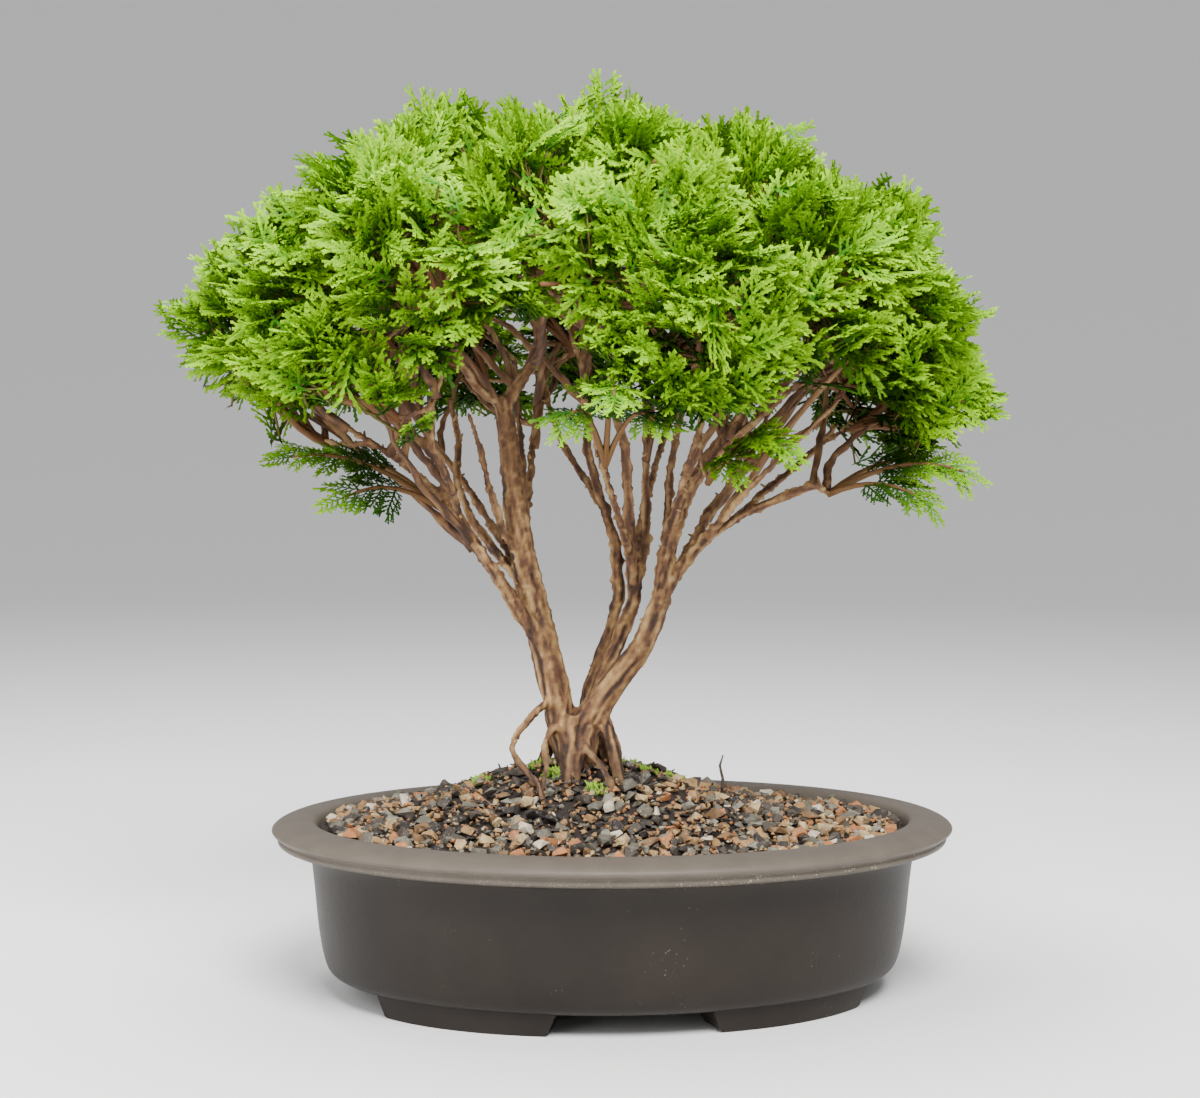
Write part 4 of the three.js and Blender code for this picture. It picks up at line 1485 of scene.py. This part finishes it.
@dataclass
class Pot:
    """The oval pot: a turned profile made oval, four feet and two drain holes."""

    place: Place
    finish: ClayFinish = field(default_factory=ClayFinish)
    half_length: float = 76.2
    half_depth: float = 56.0
    height: float = 39.0
    foot_height: float = 4.6
    floor_top: float = 9.0
    wall_foot: float = 63.5
    wall_top: float = 68.0
    least_depth: float = 0.86
    segments: int = 144
    rounding: int = 2
    # The feet, with their ends in degrees round the oval
    foot_outer: float = 61.8
    foot_width: float = 9.0
    foot_steps: int = 20
    foot_arcs: tuple[Pair, ...] = ((211.0, 254.5), (285.5, 329.0), (31.0, 74.5), (105.5, 149.0))
    drain_x: float = 30.0
    drain_radius: float = 4.5
    drain_sides: int = 40
    drain_heights: tuple[float, ...] = (0.5, 4.0, 8.0, 12.0)
    sharp_angle: float = 38.0

    def depth_at(self, radius: float) -> float:
        """The half-depth of the oval whose half-length is the radius."""
        return radius - (self.half_length - self.half_depth)

    def profile(self) -> Array:
        """The pot's section from the middle of its underside to the middle of its floor, corners rounded.

        Returns:
            Radius and height of each point.
        """
        rim = self.half_length
        points = np.array(
            [
                (0.0, self.foot_height),
                (self.wall_foot - 3.4, self.foot_height),
                (self.wall_foot - 0.4, self.foot_height + 0.4),
                (self.wall_foot + 1.2, 7.4),
                (self.wall_foot + 2.6, 15.0),
                (self.wall_top - 1.0, 25.0),
                (self.wall_top - 0.3, 31.0),
                (self.wall_top + 1.2, 33.2),
                (rim - 3.4, 33.6),
                (rim - 1.5, 33.8),
                (rim - 1.0, 34.7),
                (rim - 1.5, 35.7),
                (rim - 0.2, 36.2),
                (rim + 0.3, 37.0),
                (rim - 0.8, 38.0),
                (rim - 3.0, 38.8),
                (rim - 6.0, self.height + 0.1),
                (rim - 8.4, self.height),
                (rim - 9.6, self.height - 0.6),
                (rim - 10.3, 35.6),
                (self.wall_top - 4.2, 29.5),
                (self.wall_foot - 3.6, self.floor_top + 1.5),
                (self.wall_foot - 6.0, self.floor_top),
                (0.0, self.floor_top),
            ]
        )
        for _ in range(self.rounding):
            low, high = points[:-1], points[1:]
            cut = np.stack([low * 0.75 + high * 0.25, low * 0.25 + high * 0.75], 1).reshape(-1, 2)
            points = np.concatenate([points[:1], cut, points[-1:]])
        return points

    def _body(self) -> Shape:
        """Turns the profile into the oval body.

        Returns:
            Its points and triangles.
        """
        profile = self.profile()
        rings = []
        for radius, height in profile[1:-1]:
            least = radius * self.half_depth / self.half_length * self.least_depth
            rings.append(oval(radius, max(self.depth_at(radius), least), height, self.segments))
        return skin(np.array(rings), UP * profile[0][1], UP * profile[-1][1])

    def _foot(self, start: float, end: float) -> Shape:
        """Shapes one foot, its sides drawn in towards the ground and its lower edge rounded.

        Args:
            start: Where it starts round the oval, in degrees.
            end: Where it ends.

        Returns:
            Its points and triangles.
        """
        angles = np.radians(np.linspace(start, end, self.foot_steps))
        outer, inner = self.foot_outer, self.foot_outer - self.foot_width
        loop = [self._round(outer, angle) for angle in angles]
        loop += [self._round(inner, angle) for angle in angles[::-1]]
        ring = np.array(loop)
        centre = np.array(self._round((outer + inner) / 2, math.radians((start + end) / 2)))
        top = self.foot_height
        rows = []
        for height, share in ((0.0, 0.88), (0.5, 0.915), (2.4, 0.955), (top, 1.0), (top + 0.8, 1.0)):
            flat = centre + (ring - centre) * share
            rows.append(np.column_stack([flat, np.full(len(flat), height)]))
        near = np.arange(self.foot_steps - 1)
        far = len(ring) - 1 - near
        cap = np.concatenate([np.stack([near, near + 1, far - 1], 1), np.stack([near, far - 1, far], 1)])
        upper = cap + len(ring) * (len(rows) - 1)
        return np.concatenate(rows), np.concatenate([bands(len(rows), len(ring)), cap[:, ::-1], upper])

    def _round(self, radius: float, angle: float) -> Pair:
        """A point on the oval whose half-length is the radius."""
        return radius * math.cos(angle), self.depth_at(radius) * math.sin(angle)

    def build(self) -> None:
        """Makes the pot."""
        body, feet, holes = MeshParts(), MeshParts(), MeshParts()
        body.add(*self._body())
        for start, end in self.foot_arcs:
            feet.add(*self._foot(start, end))
        for side in (-1, 1):
            path = np.array([[side * self.drain_x, 0, height] for height in self.drain_heights])
            holes.add(*tube(path, [self.drain_radius] * len(path), self.drain_sides))
        material = self.finish.material()
        piece = body.piece("clay_pot", self.place, material)
        joining = feet.piece("feet", self.place, material)
        cutting = holes.piece("drain_holes", self.place, material)
        for other, operation in ((joining, "UNION"), (cutting, "DIFFERENCE")):
            step = piece.modifiers.new(operation.lower(), "BOOLEAN")
            step.operation = operation
            step.solver = "EXACT"
            step.object = other
        bake_modifiers(piece)
        for other in (joining, cutting):
            bpy.data.objects.remove(other)
        self._keep_edges(piece.data)
        dress(piece, "clay", "pot")

    def _keep_edges(self, mesh: bpy.types.Mesh) -> None:
        """Shades the pot smooth, but keeps its sharp edges.

        Args:
            mesh: The mesh.
        """
        shade(mesh)
        limit = math.radians(self.sharp_angle)
        work = bmesh.new()
        work.from_mesh(mesh)
        for edge in work.edges:
            edge.smooth = len(edge.link_faces) == 2 and edge.calc_face_angle(0.0) < limit
        work.to_mesh(mesh)
        work.free()


# Grit


@dataclass
class Grit(Seeded):
    """The heap of damp soil with its loose stones."""

    seed: int = 905
    finish: GritFinish = field(default_factory=GritFinish)
    parts: MeshParts = field(default_factory=MeshParts)
    # The heap: half its length, how much less its half-depth is, and its heights
    edge: float = 65.4
    depth_less: float = 20.2
    edge_height: float = 36.6
    heap: float = 13.0
    heap_centre: Pair = (-8.0, 2.0)
    heap_spread: Pair = (24.0, 17.0)
    crest: float = 1.6
    crest_spread: Pair = (42.0, 27.0)
    bottom: float = 9.35
    bottom_edge: float = 58.0
    side_less: float = 1.6
    side_height: float = 29.5
    segments: int = 120
    soil_rings: int = 11
    soil_depth: float = 0.9
    soil_lumps: float = 0.7
    # The stones, smaller and darker near the trunk
    stones: int = 2000
    stone_sizes: Pair = (0.75, 3.0)
    stone_shape: Triple = (1.0, 0.82, 0.68)
    small_near: float = 16.0
    small: float = 0.62
    dark_near: float = 20.0
    dark: float = 0.45
    filled: float = 0.985
    forms: int = 30
    form_corners: int = 13
    # The bits of bark and root, the grains and the dry stem
    bits: int = 420
    bit_spread: float = 34.0
    bit_lengths: Pair = (0.9, 2.8)
    bit_girths: Pair = (0.16, 0.42)
    grains: int = 1500
    grain_sizes: Pair = (0.28, 0.65)
    stem: tuple[Point, ...] = ((24.5, 2.0, 40.0), (24.9, 1.8, 46.5), (24.2, 1.9, 49.5), (24.9, 1.7, 52.0))
    stem_girths: tuple[float, ...] = (0.4, 0.36, 0.3, 0.15)

    @property
    def half_depth(self) -> float:
        """Half the grit's depth at its edge."""
        return self.edge - self.depth_less

    def height(self, x: Array, y: Array) -> Array:
        """The heap's height over each point.

        Args:
            x: How far right each lies.
            y: How far back.

        Returns:
            The heights.
        """
        right, back = x - self.heap_centre[0], y - self.heap_centre[1]
        heap = (right / self.heap_spread[0]) ** 2 + (back / self.heap_spread[1]) ** 2
        crest = (right / self.crest_spread[0]) ** 2 + (back / self.crest_spread[1]) ** 2
        return self.edge_height + self.heap * np.exp(-0.5 * heap) + self.crest * np.exp(-0.5 * crest)

    def ground(self, x: float, y: float) -> float:
        """The heap's height over one point."""
        return float(self.height(np.array(x), np.array(y)))

    def _spot(self, share: float, angle: float) -> Pair:
        """A place on the grit, from its share of the way to the edge and its angle."""
        return self.edge * share * math.cos(angle), self.half_depth * share * math.sin(angle)

    def _soil(self) -> None:
        """Adds the closed body of soil under the stones."""
        rims = ((self.bottom_edge, self.bottom), (self.edge - self.side_less, self.side_height))
        rings = [oval(radius, radius - self.depth_less, height, self.segments) for radius, height in rims]
        inner = [0.9 - 0.08 * ring for ring in range(self.soil_rings)]
        for share in (1.0, 0.97, *inner, 0.04):
            ring = oval(self.edge * share, self.half_depth * share, 0.0, self.segments)
            ring[:, 2] = self.height(ring[:, 0], ring[:, 1]) - self.soil_depth
            lumps = [noise.noise(Vector((x * 0.6, y * 0.6, 3.0))) for x, y in ring[:, :2]]
            ring[:, 2] += self.soil_lumps * np.array(lumps)
            rings.append(ring)
        middle = self.ground(0.0, 0.0) - self.soil_depth
        self.parts.add(*skin(np.array(rings), UP * self.bottom, UP * middle), tone=0.0, stone=0.0)

    def _form(self) -> Shape:
        """Draws an angular stone, the hull of a few random points.

        Returns:
            Its points and triangles.
        """
        work = bmesh.new()
        for _ in range(self.form_corners):
            way = unit(self.random.normal(0, 1, 3)) * self.random.uniform(0.82, 1.0)
            work.verts.new(Vector(way * np.array(self.stone_shape)))
        hull = bmesh.ops.convex_hull(work, input=work.verts)
        loose = [item for item in hull["geom_interior"] if isinstance(item, bmesh.types.BMVert)]
        bmesh.ops.delete(work, geom=loose, context="VERTS")
        bmesh.ops.triangulate(work, faces=work.faces)
        bmesh.ops.recalc_face_normals(work, faces=work.faces)
        work.verts.index_update()
        points = np.array([vertex.co[:] for vertex in work.verts])
        faces = np.array([[vertex.index for vertex in face.verts] for face in work.faces])
        work.free()
        return points, faces

    def _turned(self, points: Array) -> Array:
        """Turns points any way round.

        Args:
            points: The points.

        Returns:
            The turned points.
        """
        axis = unit(self.random.normal(0, 1, 3))
        turn = Matrix.Rotation(self.turn(), 3, Vector(axis))
        return points @ np.array(turn).T

    def _stone(self, number: int, forms: list[Shape]) -> None:
        """Lays one stone on a spiral that fills the oval evenly, smaller and darker near the trunk.

        Args:
            number: Its number on the spiral.
            forms: The stones to choose from.
        """
        share = math.sqrt((number + 0.5) / self.stones) * self.filled
        x, y = self._spot(share, number * GOLDEN_ANGLE)
        x += self.random.normal(0, 0.7)
        y += self.random.normal(0, 0.7)
        inside = math.hypot(x / self.edge, y / self.half_depth)
        if inside > self.filled:
            x, y = x * self.filled / inside, y * self.filled / inside
        near = math.hypot(x - self.heap_centre[0], (y - self.heap_centre[1]) * 1.3)
        least, most = self.stone_sizes
        size = least + (most - least) * self.random.uniform(0, 1) ** 1.9
        if near < self.small_near:
            size *= self.small
        tone = self.random.uniform(0, 1)
        if near < self.dark_near and self.random.random() < 0.7:
            tone *= self.dark
        points, faces = forms[int(self.random.integers(len(forms)))]
        z = self.ground(x, y) - 0.55 + self.random.uniform(0.0, 0.55) * size
        moved = self._turned(points) * size * np.array([1.0, 1.0, 0.8]) + np.array([x, y, z])
        self.parts.add(moved, faces, tone=tone, stone=1.0)

    def _bit(self) -> None:
        """Drops a dark bit of root, bark or dry leaf, most often near the trunk."""
        spread = self.bit_spread * self.random.uniform(0, 1) ** 0.7
        angle = self.turn()
        x = self.heap_centre[0] + spread * 1.35 * math.cos(angle)
        y = self.heap_centre[1] + spread * math.sin(angle)
        middle = np.array([x, y, self.ground(x, y) + self.random.uniform(-0.1, 0.8)])
        turn = self.turn()
        way = unit(np.array([math.cos(turn), math.sin(turn), self.random.normal(0, 0.25)]))
        half = self.random.uniform(*self.bit_lengths)
        path = np.array([middle - way * half, middle + self.random.normal(0, 0.3, 3), middle + way * half])
        girth = self.random.uniform(*self.bit_girths)
        tone = self.random.uniform(0.0, 0.26) if self.random.random() < 0.8 else 0.6
        self.parts.add(*tube(path, [girth * 0.6, girth, girth * 0.5], 4), tone=tone, stone=1.0)

    def _grain(self, corners: Array, faces: Array) -> None:
        """Drops a tiny tan or rusty grain between the stones.

        Args:
            corners: The corners of a regular grain.
            faces: Its triangles.
        """
        share = 0.97 * math.sqrt(self.random.uniform(0, 1))
        x, y = self._spot(share, self.turn())
        z = self.ground(x, y) + self.random.uniform(-0.2, 1.1)
        size = self.random.uniform(*self.grain_sizes)
        uneven = corners * self.random.uniform(0.7, 1.3, (len(corners), 1))
        moved = self._turned(uneven) * size + np.array([x, y, z])
        self.parts.add(moved, faces, tone=self.random.uniform(0.5, 0.9), stone=1.0)

    def build(self) -> None:
        """Makes the soil and scatters its stones."""
        self._soil()
        forms = [self._form() for _ in range(self.forms)]
        for number in range(self.stones):
            self._stone(number, forms)
        for _ in range(self.bits):
            self._bit()
        corners = np.array([[1, 0, 0], [0, 1, 0], [-1, 0, 0], [0, -1, 0], [0, 0, 1], [0, 0, -1]], float)
        faces = np.concatenate([fan(0, 4, 4), fan(0, 4, 5)[:, [1, 0, 2]]])
        for _ in range(self.grains):
            self._grain(corners, faces)
        self.parts.add(*tube(np.array(self.stem), self.stem_girths, 6), tone=0.2, stone=1.0)
        piece = self.parts.piece("grit_stones", self.place, self.finish.material(), smooth=False)
        dress(piece, "grit", "soil")


# Moss


@dataclass
class Moss(Seeded):
    """Small cushions of moss on the roots and the grit."""

    seed: int = 38
    finish: MossFinish = field(default_factory=MossFinish)
    parts: MeshParts = field(default_factory=MeshParts)
    cushions: tuple[Triple, ...] = (
        (10.2, 3.6, 5.0),
        (14.5, 2.2, 3.4),
        (-16.2, 1.5, 3.4),
        (-30.8, 2.7, 3.6),
        (-5.6, -12.6, 2.4),
        (-14.0, -6.0, 3.0),
        (3.0, 6.0, 4.0),
    )
    shoots: int = 85
    flatness: float = 0.7
    heights: Pair = (1.0, 2.2)
    girths: Triple = (0.30, 0.42, 0.06)

    def build(self, grit: Grit) -> None:
        """Makes the moss.

        Args:
            grit: The grit that it grows on.
        """
        for cushion in self.cushions:
            for _ in range(int(self.shoots * cushion[2] / 4)):
                self._shoot(grit, cushion)
        piece = self.parts.piece("moss", self.place, self.finish.material())
        dress(piece, "leaf")

    def _shoot(self, grit: Grit, cushion: Triple) -> None:
        """Adds one shoot to a cushion, lower towards its edge.

        Args:
            grit: The grit.
            cushion: Where the cushion's middle lies, to the right and back, and its radius.
        """
        x, y, radius = cushion
        spread = radius * math.sqrt(self.random.uniform(0, 1))
        angle = self.turn()
        right, back = x + spread * math.cos(angle), y + spread * self.flatness * math.sin(angle)
        foot = np.array([right, back, grit.ground(right, back) - 0.6])
        tall = self.random.uniform(*self.heights) * (1.25 - 0.6 * spread / radius)
        lean = self.random.normal(0, 0.35, 2) * tall
        head = foot + np.array([*lean, tall])
        points, faces = tube(np.array([foot, (foot + head) / 2, head]), self.girths, 4)
        self.parts.add(points, faces, tip=np.clip((points[:, 2] - foot[2]) / 2.4, 0, 1))


# Studio


@dataclass(frozen=True)
class Lamp:
    """A soft round light: where it stands, what it looks at, its width and its power in watts."""

    name: str
    spot: Point
    aim: Point
    width: float
    power: float


@dataclass
class Studio:
    """The pale floor, the soft lights and the camera at the photograph's angle."""

    place: Place
    finish: FloorFinish = field(default_factory=FloorFinish)
    eye: Point = (-49.9, -444.5, 118.6)
    yaw: float = 5.94
    pitch: float = 2.53
    roll: float = -0.33
    lens: float = 59.97
    sensor: float = 36.0
    clip: Pair = (10.0, 50000.0)
    floor_flat: float = 1300.0
    floor_rise: float = 1600.0
    floor_rings: int = 16
    floor_sides: int = 96
    lamps: tuple[Lamp, ...] = (
        Lamp("key", (40.0, -480.0, 620.0), (0.0, 0.0, 120.0), 380.0, 12.0),
        Lamp("fill", (-460.0, -300.0, 260.0), (0.0, 0.0, 110.0), 600.0, 2.6),
        Lamp("top", (-60.0, 60.0, 680.0), (0.0, 0.0, 150.0), 400.0, 6.5),
    )
    sky: Colour = (0.97, 0.98, 1.0)
    sky_power: float = 0.62

    def build(self) -> None:
        """Makes the stage."""
        self._floor()
        self._camera()
        for lamp in self.lamps:
            self._light(lamp)
        world = bpy.data.worlds.new("studio")
        world.use_nodes = True
        background = world.node_tree.nodes["Background"]
        background.inputs["Color"].default_value = (*self.sky, 1.0)
        background.inputs["Strength"].default_value = self.sky_power
        bpy.context.scene.world = world

    def _floor(self) -> None:
        """Lays the floor under the feet, a wide flat disc that curves up all round."""
        sides = self.floor_sides
        rings = []
        for bend in np.linspace(0, math.pi / 2, self.floor_rings):
            radius = self.floor_flat + self.floor_rise * math.sin(bend)
            rings.append(oval(radius, radius, self.floor_rise * (1 - math.cos(bend)), sides))
        middle = fan(0, sides, len(rings) * sides)
        outer = bands(len(rings), sides)[:, ::-1]
        parts = MeshParts()
        parts.add(np.concatenate([*rings, np.zeros((1, 3))]), np.concatenate([middle, outer]))
        parts.piece("floor", self.place, self.finish.material())

    def _camera(self) -> None:
        """Sets the camera up."""
        data = bpy.data.cameras.new("camera")
        data.lens = self.lens
        data.sensor_width = self.sensor
        data.clip_start = self.clip[0] * MM
        data.clip_end = self.clip[1] * MM
        camera = linked("camera", data)
        turn = Matrix.Rotation(-math.radians(self.yaw), 4, "Z")
        turn @= Matrix.Rotation(math.radians(90 - self.pitch), 4, "X")
        turn @= Matrix.Rotation(-math.radians(self.roll), 4, "Z")
        camera.matrix_world = Matrix.Translation(self.place.vector(self.eye)) @ turn
        bpy.context.scene.camera = camera

    def _light(self, lamp: Lamp) -> None:
        """Adds a light.

        Args:
            lamp: The light.
        """
        data = bpy.data.lights.new(lamp.name, "AREA")
        data.shape = "DISK"
        data.size = lamp.width * MM
        data.energy = lamp.power
        light = linked(lamp.name, data)
        light.location = self.place.vector(lamp.spot)
        light.rotation_mode = "QUATERNION"
        light.rotation_quaternion = (Vector(lamp.aim) - Vector(lamp.spot)).to_track_quat("-Z", "Y")


def main() -> None:
    """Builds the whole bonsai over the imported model."""
    logging.basicConfig(level=logging.INFO, format="%(name)s: %(message)s")
    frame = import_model()
    place = Place.of_pot()
    nodes = frame["nodes"]
    Studio(place).build()
    Pot(place).build()
    grit = Grit(place)
    grit.build()
    Moss(place).build(grit)
    wood = Wood(place).build(nodes["wood"])
    crown = Crown(place)
    tufts = crown.build(nodes)
    Twigs(place).build(wood, tufts, crown)
    plastic = PlasticFinish().material()
    for name in ("drain_screen_left", "drain_screen_right"):
        nodes[name].data.materials.clear()
        nodes[name].data.materials.append(plastic)
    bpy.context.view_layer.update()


if __name__ == "__main__":
    main()
